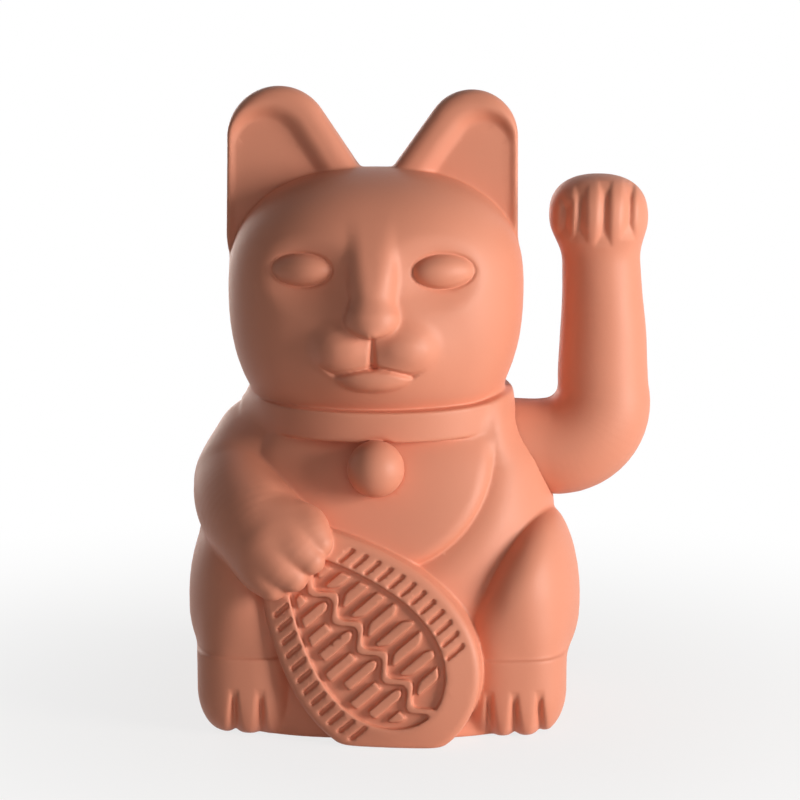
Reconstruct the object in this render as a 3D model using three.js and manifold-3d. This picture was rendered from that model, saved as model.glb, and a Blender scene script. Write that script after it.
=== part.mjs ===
// A waving lucky cat figurine: two painted half shells on a base plate, and a raised arm on
// an axle whose pendulum a small coil keeps swinging. Millimetres, +Z up. The cat faces -Y,
// its waving arm is on +X, and the origin is on the underside of the base plate, straight
// below the axle.
import * as THREE from 'three';
import { mergeVertices } from 'three/addons/utils/BufferGeometryUtils.js';
import Module from 'manifold-3d';

// Walls and clearances
const WALL = 2.2; // moulded wall of the body shells
const ARM_WALL = 1.8; // moulded wall of the hollow arm
const SEAM = 0.3; // gap between the two halves of a shell
const FIT = 0.3; // gap between pieces that seat on each other
const RUN = 0.15; // running clearance of the axle in its bushes
const SWING_GAP = 0.5; // gap between the arm and its pocket in the shoulder

// Torso: a column of squarish ovals, from the table to inside the head
const TORSO_POWER = 2.8; // 2 is an ellipse, more is squarer
const TORSO_BACKSET = 2;
const BASE_HALF_WIDTH = 40.5;
const BASE_HALF_DEPTH = 38;
const HIP_HEIGHT = 28;
const HIP_HALF_WIDTH = 41;
const HIP_HALF_DEPTH = 36.5;
const CHEST_HEIGHT = 56;
const CHEST_HALF_WIDTH = 40.6;
const CHEST_HALF_DEPTH = 31.5;
const SHOULDER_HEIGHT = 67;
const SHOULDER_HALF_WIDTH = 36.8;
const SHOULDER_HALF_DEPTH = 28.4;
const NECK_HEIGHT = 82;
const NECK_HALF_WIDTH = 26.5;
const NECK_HALF_DEPTH = 22;

// Head: a squarish ball that sits on the neck
const HEAD_POWER = 2.4;
const HEAD_HALF_WIDTH = 35.3;
const HEAD_HALF_DEPTH = 29.5;
const HEAD_HALF_HEIGHT = 28;
const JAW_HALF_HEIGHT = 39; // below the middle, where the neck hides its end
const HEAD_ABOVE_NECK = 21; // centre of the head above the top of the neck
const HEAD_FORWARD = 2.6; // centre of the head in front of the axle
const HEAD_ASIDE = 1.1; // centre of the head towards the resting arm

// Ears
const EAR_SPREAD = 17.5; // middle of an ear's root from the middle of the head
const EAR_LEAN = 6.5; // how far the tip leans out from the root
const EAR_HALF_WIDTH = 17;
const EAR_HALF_DEPTH = 9;
const EAR_LENGTH = 37.5;
const EAR_ROOT_ABOVE_HEAD = 9; // root of the ear above the centre of the head
const EAR_TAPER = 1.9; // larger keeps the ear wide for longer
const EAR_ROOT_SHARE = 0.75; // the root narrows into the head
const EAR_RIM = 4.5; // thickness of the rim round the hollow
const EAR_HOLLOW_DEPTH = 4.5;

// Face
const FACE_SHIFT = 0.5; // middle of the face from the middle of the head
const EYE_SPREAD = 16.3;
const EYE_ABOVE_HEAD = 6.1;
const EYE_HALF_WIDTH = 7.4;
const EYE_HALF_HEIGHT = 4.4;
const EYE_BULGE = 2; // how far an eye stands out of the face
const NOSE_TIP_BELOW_HEAD = 4.5;
const NOSE_TOP_ABOVE_HEAD = 14;
const NOSE_TIP_RADIUS = 5.2;
const NOSE_TOP_RADIUS = 3.6;
const NOSE_REACH = 5.5; // how far the nose tip stands out of the face
const PAD_SPREAD = 6.2; // whisker pads either side of the lip
const PAD_BELOW_HEAD = 11.6;
const PAD_RADIUS = 6.8;
const PAD_REACH = 4.6;
const LIP_BELOW_HEAD = 18.6;
const LIP_HALF_WIDTH = 9;
const LIP_HALF_HEIGHT = 3.8;
const LIP_REACH = 2.6;

// Collar and bell
const COLLAR_HALF_WIDTH = 31.1;
const COLLAR_HALF_DEPTH = 28.4;
const COLLAR_FORWARD = 1.4; // centre of the collar in front of the axle
const COLLAR_BAND = 7.2;
const COLLAR_TILT = 4; // degrees that the front of the collar dips
const COLLAR_BELOW_NECK = 7.5;
const BELL_RADIUS = 6.4;
const BELL_BELOW_COLLAR = 8.7; // centre of the bell below the front of the collar

// Belly, haunches, feet and tail
const BELLY_RADIUS = 27.4; // round bib of the belly
const BELLY_HEIGHT = 66; // middle of the bib
const BELLY_BULGE = 2; // how far the bib stands out of the torso
const LEGS_ASIDE = 0.8; // middle of the legs towards the waving arm
const HAUNCH_SPREAD = 31.8;
const HAUNCH_FORWARD = 10.5;
const HAUNCH_HEIGHT = 30.5;
const HAUNCH_HALF_WIDTH = 14.6;
const HAUNCH_HALF_DEPTH = 25;
const HAUNCH_HALF_HEIGHT = 24.5;
const HAUNCH_LEAN = 13; // degrees that a haunch leans out
const HAUNCH_TIP = 10; // degrees that its top tips back
const FOOT_SPREAD = 31.2;
const FOOT_HALF_WIDTH = 12.3;
const FOOT_HALF_LENGTH = 19.5;
const FOOT_HEIGHT = 19.2;
const FOOT_TOE_LINE = 36.7; // toes in front of the axle
const FOOT_SPLAY = 7; // degrees that the toes turn out
const TOE_PITCH = 6;
const TOE_GROOVE = 1.3;
const TOE_GROOVE_HEIGHT = 10.5;
const TAIL_RADIUS = 6;
const TAIL_LENGTH = 20;
const TAIL_BULGE = 3.2; // how far the tail stands out of the back

// Resting arm, which lies across the belly and holds the coin
const REST_SHOULDER = new THREE.Vector3(-28, -1, 63);
const REST_ELBOW = new THREE.Vector3(-33, -11, 56.6);
const REST_FOREARM = new THREE.Vector3(-31.4, -22, 51.8);
const REST_WRIST = new THREE.Vector3(-23, -35.5, 44.6);
const REST_SHOULDER_RADIUS = 12.6;
const REST_ELBOW_RADIUS = 12.4;
const REST_FOREARM_RADIUS = 12.4;
const REST_WRIST_RADIUS = 11.6;
const REST_PAW = new THREE.Vector3(-21.3, -36, 43);
const REST_PAW_HALF_LENGTH = 9.8;
const REST_PAW_HALF_DEPTH = 9.4;
const REST_PAW_HALF_WIDTH = 13;
const REST_PAW_SLANT = 42; // degrees that the fingers point down
const REST_PAW_DIP = 40; // degrees that the fingers reach forward
const FINGER_COUNT = 4;
const FINGER_GROOVE = 1.1; // width of the groove between two fingers
const FINGER_GROOVE_DEPTH = 1.2;

// Oval coin, leaning on the belly with its lower end on the table
const COIN_HALF_WIDTH = 22;
const COIN_HALF_LENGTH = 28.4;
const COIN_THICKNESS = 11;
const COIN_POWER = 1.9;
const COIN_X = 0.2;
const COIN_HEIGHT = 22.2; // centre above the table
const COIN_REACH = 7; // middle of the coin's face in front of the torso
const COIN_TILT = 33; // degrees that its upper end leans to the resting arm
const COIN_LEAN = 7; // degrees that its upper end leans back
const COIN_BORDER = 6.5; // sloping border round the field
const COIN_BORDER_RISE = 1.6;
const COIN_FIELD_DEPTH = 0.7;
const COIN_TICK_COUNT = 30;
const COIN_TICK_SHARE = 0.8; // share of the length, either way, that has ticks
const COIN_TICK_WIDTH = 0.9;
const COIN_TICK_DEPTH = 0.9;
const COIN_BAR_ROWS = 5;
const COIN_BAR_PITCH = 6.4;
const COIN_BAR_RADIUS = 1.1;
const COIN_BAR_LENGTH = 9.5;

// Waving arm and its axle
const AXLE_HEIGHT = 63.6;
const AXLE_RADIUS = 1.5;
const POCKET_FLOOR = 31; // bottom of the shoulder pocket, from the middle of the body
const ARM_ROOT_RADIUS = 11.5;
const ELBOW_REACH = 9.6; // inner corner of the elbow outside the pocket floor
const ELBOW_CREASE = 3; // fillet in the inner corner
const ELBOW_RADIUS = 10.6; // where the forearm leaves the elbow
const FOREARM_RADIUS = 10.4;
const FOREARM_RISE = 26; // thickest place of the forearm above the axle
const WRIST_RADIUS = 9.3;
const WRIST_RISE = 47.5;
const WRIST_LEAN = 1.5; // how far the wrist leans in from the elbow
const PAW_HALF_WIDTH = 11.5;
const PAW_HALF_DEPTH = 10.6;
const PAW_HALF_HEIGHT = 9.5;
const PAW_RISE = 54.8;
const PAW_FORWARD = 1.5;
const PAW_POWER = 2.3;
const HUB_THICKNESS = 3;
const HUB_SOCKET_RADIUS = 3.6;
const HUB_SOCKET_LENGTH = 9;

// Base plate, battery bay and door
const PLATE_THICKNESS = 3;
const CELL_DIAMETER = 14.2;
const CELL_LENGTH = 50.2; // over the positive pip
const CELL_PIP_RADIUS = 2.7;
const CELL_PIP_LENGTH = 1.3;
const CELL_BACK = 17.5; // middle of the cell behind the axle
const BAY_WALL = 1.5;
const BAY_CLEARANCE = 0.6; // round the cell
const SPRING_LENGTH = 5;
const CONTACT_THICKNESS = 0.5;
const CONTACT_WIDTH = 8;
const CONTACT_TAB_WIDTH = 3;
const CONTACT_TAB_RISE = 3; // solder tab above the roof of the bay
const DOOR_THICKNESS = 1.5;
const DOOR_LIP = 1.6; // door edge that overlaps the plate all round
const DOOR_LATCH_WIDTH = 7;
const DOOR_LATCH_HEIGHT = 3;
const DOOR_LATCH_THICKNESS = 1.2;
const SPRING_WIRE_RADIUS = 0.4;
const SPRING_TURNS = 3;
const SPRING_WIDE_RADIUS = 4.6;
const SPRING_NARROW_RADIUS = 2.6;

// Screws
const SCREW_RADIUS = 1.1;
const SCREW_LENGTH = 8;
const SCREW_HEAD_RADIUS = 2.3;
const SCREW_HEAD_HEIGHT = 1.3;
const SHELL_BOSS_RADIUS = 3.4;
const SHELL_BOSS_HEIGHT = 12;
const FRONT_BOSS_ANGLE = 30; // degrees round from the side, towards the front
const REAR_BOSS_ANGLE = 60; // towards the back
const PLATE_EDGE = 1.6; // plate between a screw's recess and the plate's edge

// Swing bracket, bushes and pendulum
const BRACKET_MIDDLE = 14.5; // swing plane of the pendulum, from the middle of the body
const BRACKET_GAP = 17; // between the two uprights
const AXLE_STUB = 2; // axle beyond the inner upright
const UPRIGHT_THICKNESS = 2.4;
const UPRIGHT_FOOT = 19;
const UPRIGHT_TOP_RADIUS = 5.5;
const BRACKET_FOOT_THICKNESS = 2;
const BRACKET_FOOT_FRONT = 12; // front edge of the foot in front of the axle
const BUSH_RADIUS = 3;
const BUSH_FLANGE_RADIUS = 4.2;
const BUSH_FLANGE = 1;
const LEVER_THICKNESS = 4;
const LEVER_BOSS_RADIUS = 4;
const LEVER_HALF_WIDTH = 3;
const WEIGHT_RADIUS = 6.5;
const WEIGHT_LENGTH = 14;
const WEIGHT_WEB = 1; // lever left between the counterweight and the magnet
const WEIGHT_BACK = 0.46; // behind the lever's line, to balance the paw in front
const MAGNET_RADIUS = 4.5;
const MAGNET_HEIGHT = 4;
const CUP_WALL = 1.4;

// Drive coil and circuit board
const COIL_GAP = 1.6; // between the magnet and the coil
const BOBBIN_RADIUS = 7;
const BOBBIN_HEIGHT = 9;
const BOBBIN_FLANGE = 0.9;
const BOBBIN_CORE_RADIUS = 2.6;
const BOBBIN_BORE = 1.2;
const BOARD_CLEARANCE = 0.7; // from the tips of the bracket's screws up to the board
const BOARD_THICKNESS = 1.6;
const BOARD_WIDTH = 15.8;
const BOARD_FRONT = 29;
const BOARD_REAR = 5.5;
const BOARD_SCREW_FRONT = 25;
const BOARD_SCREW_SPREAD = 5;
const POST_RADIUS = 2.8;
const COMPONENT_FRONT = 13; // capacitor and transistor in front of the coil's middle
const COMPONENT_SPREAD = 4;
const RESISTOR_FRONT = 19;
const CAPACITOR_RADIUS = 2.5;
const CAPACITOR_HEIGHT = 7;
const TRANSISTOR_RADIUS = 2.3;
const TRANSISTOR_HEIGHT = 4.6;
const RESISTOR_RADIUS = 1.1;
const RESISTOR_LENGTH = 6;
const LEAD_RADIUS = 0.7;

// Facets
const ROUND = 14; // sides of small round pieces
const LIMB_SIDES = 14;
const TORSO_SIDES = 28;
const MERGE = 1e-4;
const FAR = 400; // beyond every piece

const wasm = await Module();
wasm.setup();
const v = (x, y, z) => new THREE.Vector3(x, y, z);
const radians = THREE.MathUtils.degToRad;

// Solids from geometry, and geometry from solids

function solid(geometry) {
  const bare = geometry.clone();
  bare.deleteAttribute('normal');
  bare.deleteAttribute('uv');
  const merged = mergeVertices(bare, MERGE);
  const corners = merged.index.array;
  const kept = [];
  for (let i = 0; i < corners.length; i += 3) {
    const [a, b, c] = corners.subarray(i, i + 3);
    if (a !== b && b !== c && c !== a) kept.push(a, b, c);
  }
  const vertProperties = merged.attributes.position.array;
  return new wasm.Manifold(
    new wasm.Mesh({ numProp: 3, vertProperties, triVerts: new Uint32Array(kept) }),
  );
}

function geometryOf(body) {
  const mesh = body.getMesh();
  return new THREE.BufferGeometry()
    .setAttribute('position', new THREE.BufferAttribute(new Float32Array(mesh.vertProperties), 3))
    .setIndex(new THREE.BufferAttribute(new Uint32Array(mesh.triVerts), 1));
}

const join = (...bodies) => bodies.flat().reduce((whole, body) => whole.add(body));
const cut = (body, ...tools) => tools.flat().reduce((left, tool) => left.subtract(tool), body);

// A block between two corners
function block(low, high) {
  const size = high.clone().sub(low);
  const middle = low.clone().add(high).multiplyScalar(0.5);
  return solid(new THREE.BoxGeometry(size.x, size.y, size.z).translate(middle.x, middle.y, middle.z));
}

// Turns a geometry whose axis is +Y so that it runs from one point towards another
function along(geometry, from, to) {
  const turn = new THREE.Quaternion().setFromUnitVectors(v(0, 1, 0), to.clone().sub(from).normalize());
  return geometry.applyQuaternion(turn).translate(from.x, from.y, from.z);
}

// A closed revolve of [radius, height] points, standing on one point and aimed at another
function revolve(profile, from, to, sides = ROUND) {
  const points = profile.map(([radius, height]) => new THREE.Vector2(radius, height));
  return solid(along(new THREE.LatheGeometry(points, sides), from, to));
}

function rod(radius, from, to, sides = ROUND) {
  const length = from.distanceTo(to);
  return revolve([[0, 0], [radius, 0], [radius, length], [0, length]], from, to, sides);
}

function ring(inner, outer, from, to, sides = ROUND) {
  const length = from.distanceTo(to);
  return revolve([[inner, 0], [outer, 0], [outer, length], [inner, length], [inner, 0]], from, to, sides);
}

// A limb with round ends that tapers from one radius to another
function limb(from, fromRadius, to, toRadius, sides = LIMB_SIDES, steps = 3) {
  const length = from.distanceTo(to);
  const slope = Math.asin(THREE.MathUtils.clamp((fromRadius - toRadius) / length, -1, 1));
  const profile = [];
  for (let i = 0; i <= steps; i++) {
    const angle = THREE.MathUtils.lerp(-Math.PI / 2, slope, i / steps);
    profile.push([fromRadius * Math.cos(angle), fromRadius * Math.sin(angle)]);
  }
  for (let i = 0; i <= steps; i++) {
    const angle = THREE.MathUtils.lerp(slope, Math.PI / 2, i / steps);
    profile.push([toRadius * Math.cos(angle), length + toRadius * Math.sin(angle)]);
  }
  profile[0][0] = 0;
  profile[profile.length - 1][0] = 0;
  return revolve(profile, from, to, sides);
}

// A ball stretched to three half sizes, squarer as its power rises above 2. Its lower half may
// have a height of its own.
function ball(centre, half, options = {}) {
  const { power = 2, turn = new THREE.Euler(), sides = 16, rows = 9, below = half.z } = options;
  const geometry = new THREE.SphereGeometry(1, sides, rows).rotateX(Math.PI / 2);
  const place = geometry.attributes.position;
  const point = v(0, 0, 0);
  for (let i = 0; i < place.count; i++) {
    point.fromBufferAttribute(place, i);
    const shares = [point.x / half.x, point.y / half.y, point.z / (point.z < 0 ? below : half.z)];
    const size = shares.reduce((sum, share) => sum + Math.abs(share) ** power, 0) ** (-1 / power);
    point.multiplyScalar(size);
    place.setXYZ(i, point.x, point.y, point.z);
  }
  const spin = new THREE.Matrix4().makeRotationFromEuler(turn).setPosition(centre);
  return solid(geometry.applyMatrix4(spin));
}

// A closed skin over rings of points, which run anticlockwise as seen from the last ring
function loft(rings) {
  const sides = rings[0].length;
  const middle = (points) => points.reduce((sum, p) => sum.add(p), v(0, 0, 0)).divideScalar(points.length);
  const points = [...rings.flat(), middle(rings[0]), middle(rings[rings.length - 1])];
  const corners = [];
  const firstCap = sides * rings.length;
  const lastRing = sides * (rings.length - 1);
  for (let j = 0; j < sides; j++) {
    const k = (j + 1) % sides;
    for (let i = 0; i < lastRing; i += sides) {
      corners.push(i + j, i + k, i + sides + k, i + j, i + sides + k, i + sides + j);
    }
    corners.push(firstCap, k, j, firstCap + 1, lastRing + j, lastRing + k);
  }
  const geometry = new THREE.BufferGeometry().setFromPoints(points);
  return solid(geometry.setIndex(corners));
}

// A round skin over [centre, direction, radius] stations, with its seam turned to one side
function sweep(stations, seamSide, sides = LIMB_SIDES) {
  const rings = stations.map(([centre, ahead, radius]) => {
    const first = seamSide.clone().addScaledVector(ahead, -seamSide.dot(ahead)).normalize();
    const second = ahead.clone().cross(first);
    return Array.from({ length: sides }, (_, i) => {
      const angle = (2 * Math.PI * i) / sides;
      return centre.clone()
        .addScaledVector(first, radius * Math.cos(angle))
        .addScaledVector(second, radius * Math.sin(angle));
    });
  });
  return loft(rings);
}

// Points of a squarish oval, as [across, along] pairs
function oval(halfWidth, halfLength, power, sides) {
  return Array.from({ length: sides }, (_, i) => {
    const angle = (2 * Math.PI * i) / sides;
    const c = Math.cos(angle);
    const s = Math.sin(angle);
    const size = (Math.abs(c / halfWidth) ** power + Math.abs(s / halfLength) ** power) ** (-1 / power);
    return [c * size, s * size];
  });
}

const mirrored = (make) => [-1, 1].map(make);

// Outer skin of the figure

const torsoLine = new THREE.CatmullRomCurve3(
  [
    v(BASE_HALF_WIDTH, BASE_HALF_DEPTH, 0),
    v(HIP_HALF_WIDTH, HIP_HALF_DEPTH, HIP_HEIGHT),
    v(CHEST_HALF_WIDTH, CHEST_HALF_DEPTH, CHEST_HEIGHT),
    v(SHOULDER_HALF_WIDTH, SHOULDER_HALF_DEPTH, SHOULDER_HEIGHT),
    v(NECK_HALF_WIDTH, NECK_HALF_DEPTH, NECK_HEIGHT),
  ],
  false,
  'centripetal',
);

function torso(inset, steps = 8) {
  const rings = torsoLine.getPoints(steps).map((section) =>
    oval(section.x - inset, section.y - inset, TORSO_POWER, TORSO_SIDES).map(([x, y]) =>
      v(x, y + TORSO_BACKSET, section.z),
    ),
  );
  return loft(rings);
}

// The outline of the torso's foot, inset, at a height
function baseOutline(inset, z) {
  return oval(BASE_HALF_WIDTH - inset, BASE_HALF_DEPTH - inset, TORSO_POWER, TORSO_SIDES)
    .map(([x, y]) => v(x, y + TORSO_BACKSET, z));
}

// The torso's half width and half depth at a height
function torsoAt(height) {
  let low = 0;
  let high = 1;
  for (let i = 0; i < 24; i++) {
    const half = (low + high) / 2;
    if (torsoLine.getPoint(half).z < height) low = half;
    else high = half;
  }
  return torsoLine.getPoint(low);
}

const torsoFront = (height) => TORSO_BACKSET - torsoAt(height).y;
const torsoBack = (height) => TORSO_BACKSET + torsoAt(height).y;

const headCentre = v(-HEAD_ASIDE, -HEAD_FORWARD, NECK_HEIGHT + HEAD_ABOVE_NECK);
const headHalf = v(HEAD_HALF_WIDTH, HEAD_HALF_DEPTH, HEAD_HALF_HEIGHT);

function head(inset, sides, rows) {
  const below = JAW_HALF_HEIGHT - inset;
  return ball(headCentre, headHalf.clone().subScalar(inset), { power: HEAD_POWER, sides, rows, below });
}

// A point on the front of the face, from the middle of the head, pushed out by a reach
function onFace(x, up, reach) {
  const height = up < 0 ? JAW_HALF_HEIGHT : headHalf.z;
  const across = Math.abs(x / headHalf.x) ** HEAD_POWER + Math.abs(up / height) ** HEAD_POWER;
  const depth = headHalf.y * Math.max(0, 1 - across) ** (1 / HEAD_POWER);
  return v(headCentre.x + FACE_SHIFT + x, headCentre.y - depth - reach, headCentre.z + up);
}

function ear(side) {
  const rings = [];
  const steps = 6;
  for (let i = -1; i <= steps; i++) {
    const t = Math.sin((Math.PI / 2) * (i / steps)) * 0.995;
    const share = i < 0 ? EAR_ROOT_SHARE : Math.sqrt(1 - t ** EAR_TAPER);
    const middle = headCentre.x + side * (EAR_SPREAD + EAR_LEAN * t);
    const height = headCentre.z + EAR_ROOT_ABOVE_HEAD + EAR_LENGTH * t;
    rings.push(
      oval(EAR_HALF_WIDTH * share, EAR_HALF_DEPTH * share, 2, 16).map(([x, y]) => v(middle + x, y, height)),
    );
  }
  const halfway = 0.58;
  const share = Math.sqrt(1 - halfway ** EAR_TAPER);
  const hollowDepth = 2 * EAR_HOLLOW_DEPTH;
  const hollow = ball(
    v(
      headCentre.x + side * (EAR_SPREAD + EAR_LEAN * halfway),
      -EAR_HALF_DEPTH * share - hollowDepth + EAR_HOLLOW_DEPTH,
      headCentre.z + EAR_ROOT_ABOVE_HEAD + EAR_LENGTH * halfway,
    ),
    v(EAR_HALF_WIDTH * share + 0.5 - EAR_RIM / 2, hollowDepth, EAR_LENGTH / 2 - EAR_RIM / 2),
    { sides: 12, rows: 7 },
  );
  return cut(loft(rings), hollow);
}

function face() {
  const eyeDepth = 4;
  const eyeHalf = v(EYE_HALF_WIDTH, eyeDepth, EYE_HALF_HEIGHT);
  const eyes = mirrored((side) =>
    ball(onFace(side * EYE_SPREAD, EYE_ABOVE_HEAD, EYE_BULGE - eyeDepth), eyeHalf, {
      sides: 16,
      rows: 8,
      turn: new THREE.Euler(0, 0, side * radians(EYE_SPREAD)),
    }),
  );
  const padHalf = v(PAD_RADIUS, PAD_RADIUS, PAD_RADIUS * 0.88);
  const pads = mirrored((side) =>
    ball(onFace(side * PAD_SPREAD, -PAD_BELOW_HEAD, PAD_REACH - PAD_RADIUS), padHalf, { sides: 12, rows: 7 }),
  );
  const noseTip = onFace(0, -NOSE_TIP_BELOW_HEAD, NOSE_REACH - NOSE_TIP_RADIUS);
  const noseTop = onFace(0, NOSE_TOP_ABOVE_HEAD, -NOSE_TOP_RADIUS + 0.6);
  const nose = limb(noseTop, NOSE_TOP_RADIUS, noseTip, NOSE_TIP_RADIUS, 12, 3);
  const lipDepth = 6;
  const lipHalf = v(LIP_HALF_WIDTH, lipDepth, LIP_HALF_HEIGHT);
  const lip = ball(onFace(0, -LIP_BELOW_HEAD, LIP_REACH - lipDepth), lipHalf, { sides: 14, rows: 6 });
  return join(eyes, pads, nose, lip);
}

const collarCentre = v(0, -COLLAR_FORWARD, NECK_HEIGHT - COLLAR_BELOW_NECK);

function collar() {
  const edge = 0.8;
  const halfBand = COLLAR_BAND / 2;
  const levels = [[-halfBand, edge], [-halfBand + edge, 0], [halfBand - edge, 0], [halfBand, edge]];
  const turn = new THREE.Euler(radians(COLLAR_TILT), 0, 0);
  const rings = levels.map(([up, inset]) =>
    oval(COLLAR_HALF_WIDTH - inset, COLLAR_HALF_DEPTH - inset, 2.2, TORSO_SIDES).map(([x, y]) =>
      v(x, y, up).applyEuler(turn).add(collarCentre),
    ),
  );
  return loft(rings);
}

function bell() {
  const dip = Math.sin(radians(COLLAR_TILT)) * COLLAR_HALF_DEPTH;
  const height = collarCentre.z - dip - BELL_BELOW_COLLAR;
  const sunk = BELL_RADIUS * 0.3;
  const radius = v(BELL_RADIUS, BELL_RADIUS, BELL_RADIUS);
  return ball(v(0, torsoFront(height) - BELLY_BULGE + sunk, height), radius, { sides: 12, rows: 7 });
}

// The bib is the torso again, a little fuller, inside a circle
function belly() {
  const circle = rod(BELLY_RADIUS, v(0, 0, BELLY_HEIGHT), v(0, -FAR, BELLY_HEIGHT), 28);
  return torso(-BELLY_BULGE).intersect(circle);
}

function haunch(side) {
  const half = v(HAUNCH_HALF_WIDTH, HAUNCH_HALF_DEPTH, HAUNCH_HALF_HEIGHT);
  return ball(v(LEGS_ASIDE + side * HAUNCH_SPREAD, -HAUNCH_FORWARD, HAUNCH_HEIGHT), half, {
    power: 2.3,
    turn: new THREE.Euler(radians(HAUNCH_TIP), side * radians(HAUNCH_LEAN), 0),
  });
}

function foot(side) {
  const edge = 1;
  const middle = v(LEGS_ASIDE + side * FOOT_SPREAD, FOOT_HALF_LENGTH - FOOT_TOE_LINE, 0);
  const place = new THREE.Matrix4().makeRotationZ(side * radians(FOOT_SPLAY)).setPosition(middle);
  const sock = loft(
    [[-edge, 0], [FOOT_HEIGHT - edge, 0], [FOOT_HEIGHT, edge]].map(([z, inset]) =>
      oval(FOOT_HALF_WIDTH - inset, FOOT_HALF_LENGTH - inset, 3.4, 24).map(([x, y]) => v(x, y, z)),
    ),
  );
  const grooves = [-1, 0, 1].map((i) => {
    const low = v(i * TOE_PITCH, -FOOT_HALF_LENGTH, -1);
    const high = v(i * TOE_PITCH, -FOOT_HALF_LENGTH - TOE_GROOVE / 4, TOE_GROOVE_HEIGHT);
    return limb(low, TOE_GROOVE, high, TOE_GROOVE / 2, 6, 2);
  });
  return solid(geometryOf(cut(sock, grooves)).applyMatrix4(place));
}

function tail() {
  const low = v(0, torsoBack(TAIL_RADIUS) + TAIL_BULGE - TAIL_RADIUS, TAIL_RADIUS);
  const top = TAIL_RADIUS + TAIL_LENGTH;
  const high = v(0, torsoBack(top) + TAIL_BULGE - TAIL_RADIUS, top);
  return limb(low, TAIL_RADIUS, high, TAIL_RADIUS * 0.75);
}

// Cuts narrow slots into the front of a squarish ball, each as deep as a smaller ball inside it
function grooved(centre, half, slots) {
  const inner = ball(centre, half.clone().subScalar(FINGER_GROOVE_DEPTH), { power: PAW_POWER });
  return cut(ball(centre, half, { power: PAW_POWER }), cut(join(slots), inner));
}

// The paw in its own frame: fingers along +X, side by side along Z, their backs towards -Y
function restingPaw() {
  const half = v(REST_PAW_HALF_LENGTH, REST_PAW_HALF_DEPTH, REST_PAW_HALF_WIDTH);
  const pitch = (2 * REST_PAW_HALF_WIDTH) / FINGER_COUNT;
  const slots = [-1, 0, 1].map((i) => {
    const [low, high] = [-0.5, 0.5].map((share) => i * pitch + share * FINGER_GROOVE);
    return block(v(0, -FAR, low), v(FAR, 0, high));
  });
  const turn = new THREE.Euler(0, radians(REST_PAW_SLANT), -radians(REST_PAW_DIP));
  const place = new THREE.Matrix4().makeRotationFromEuler(turn).setPosition(REST_PAW);
  return solid(geometryOf(grooved(v(0, 0, 0), half, slots)).applyMatrix4(place));
}

function restingArm() {
  const places = [REST_SHOULDER, REST_ELBOW, REST_FOREARM, REST_WRIST];
  const radii = [REST_SHOULDER_RADIUS, REST_ELBOW_RADIUS, REST_FOREARM_RADIUS, REST_WRIST_RADIUS];
  const line = new THREE.CatmullRomCurve3(places, false, 'centripetal');
  const steps = 9;
  const stations = Array.from({ length: steps + 1 }, (_, i) => {
    const place = (i / steps) * (radii.length - 1);
    const from = Math.min(Math.floor(place), radii.length - 2);
    const radius = THREE.MathUtils.lerp(radii[from], radii[from + 1], place - from);
    return [line.getPoint(i / steps), line.getTangent(i / steps), radius];
  });
  return join(sweep(stations, v(0, 0, 1)), restingPaw());
}

const coinFrame = new THREE.Matrix4()
  .makeRotationFromEuler(new THREE.Euler(radians(-COIN_LEAN), radians(-COIN_TILT), 0))
  .setPosition(COIN_X, torsoFront(COIN_HEIGHT) - COIN_REACH, COIN_HEIGHT);

// The coin's own frame: X across, Z along its length, and -Y out of its face
function coin() {
  const outline = (inset, out) =>
    oval(COIN_HALF_WIDTH - inset, COIN_HALF_LENGTH - inset, COIN_POWER, TORSO_SIDES)
      .map(([x, z]) => v(x, -out, z));
  const edge = COIN_BORDER_RISE;
  const blank = loft([
    outline(0, -COIN_THICKNESS),
    outline(0, -edge - COIN_BORDER_RISE),
    outline(edge / 2, -COIN_BORDER_RISE),
    outline(COIN_BORDER, 0),
  ]);
  const field = loft([outline(COIN_BORDER + 1, -COIN_FIELD_DEPTH), outline(COIN_BORDER + 1, 1)]);
  const ticks = [];
  for (let i = 0; i < COIN_TICK_COUNT; i++) {
    const angle = (2 * Math.PI * (i + 0.5)) / COIN_TICK_COUNT;
    if (Math.abs(Math.sin(angle)) > COIN_TICK_SHARE) continue;
    const x = Math.cos(angle) * (COIN_HALF_WIDTH - COIN_BORDER / 2);
    const z = Math.sin(angle) * (COIN_HALF_LENGTH - COIN_BORDER / 2);
    const length = COIN_BORDER * 0.62;
    const lift = Math.atan2(COIN_BORDER_RISE, COIN_BORDER);
    const mark = new THREE.BoxGeometry(length, 2 * COIN_TICK_DEPTH, COIN_TICK_WIDTH).rotateZ(lift);
    ticks.push(solid(mark.rotateY(-angle).translate(x, COIN_BORDER_RISE / 2, z)));
  }
  const bars = [];
  for (let row = 0; row < COIN_BAR_ROWS; row++) {
    for (const side of [-1, 1]) {
      const z = (row - (COIN_BAR_ROWS - 1) / 2 + side / 4) * COIN_BAR_PITCH;
      const room = COIN_HALF_WIDTH - COIN_BORDER - 1;
      const half = room * Math.sqrt(Math.max(0, 1 - (z / (COIN_HALF_LENGTH - COIN_BORDER - 1)) ** 2));
      const inner = 2 * COIN_BAR_RADIUS;
      const outer = Math.min(inner + COIN_BAR_LENGTH, half - 2 * COIN_BAR_RADIUS);
      if (outer < inner + COIN_BAR_RADIUS) continue;
      const from = v(side * inner, COIN_FIELD_DEPTH, z);
      const to = v(side * outer, COIN_FIELD_DEPTH, z);
      bars.push(limb(from, COIN_BAR_RADIUS, to, COIN_BAR_RADIUS, 6, 1));
    }
  }
  const struck = cut(blank, field, ticks, bars);
  return solid(geometryOf(struck).applyMatrix4(coinFrame));
}

// Half shells

const above = (z) => block(v(-FAR, -FAR, z), v(FAR, FAR, FAR));
const front = block(v(-FAR, -FAR, -FAR), v(FAR, -SEAM / 2, FAR));
const rear = block(v(-FAR, SEAM / 2, -FAR), v(FAR, FAR, FAR));
const onAxle = (x) => v(x, 0, AXLE_HEIGHT);

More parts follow.
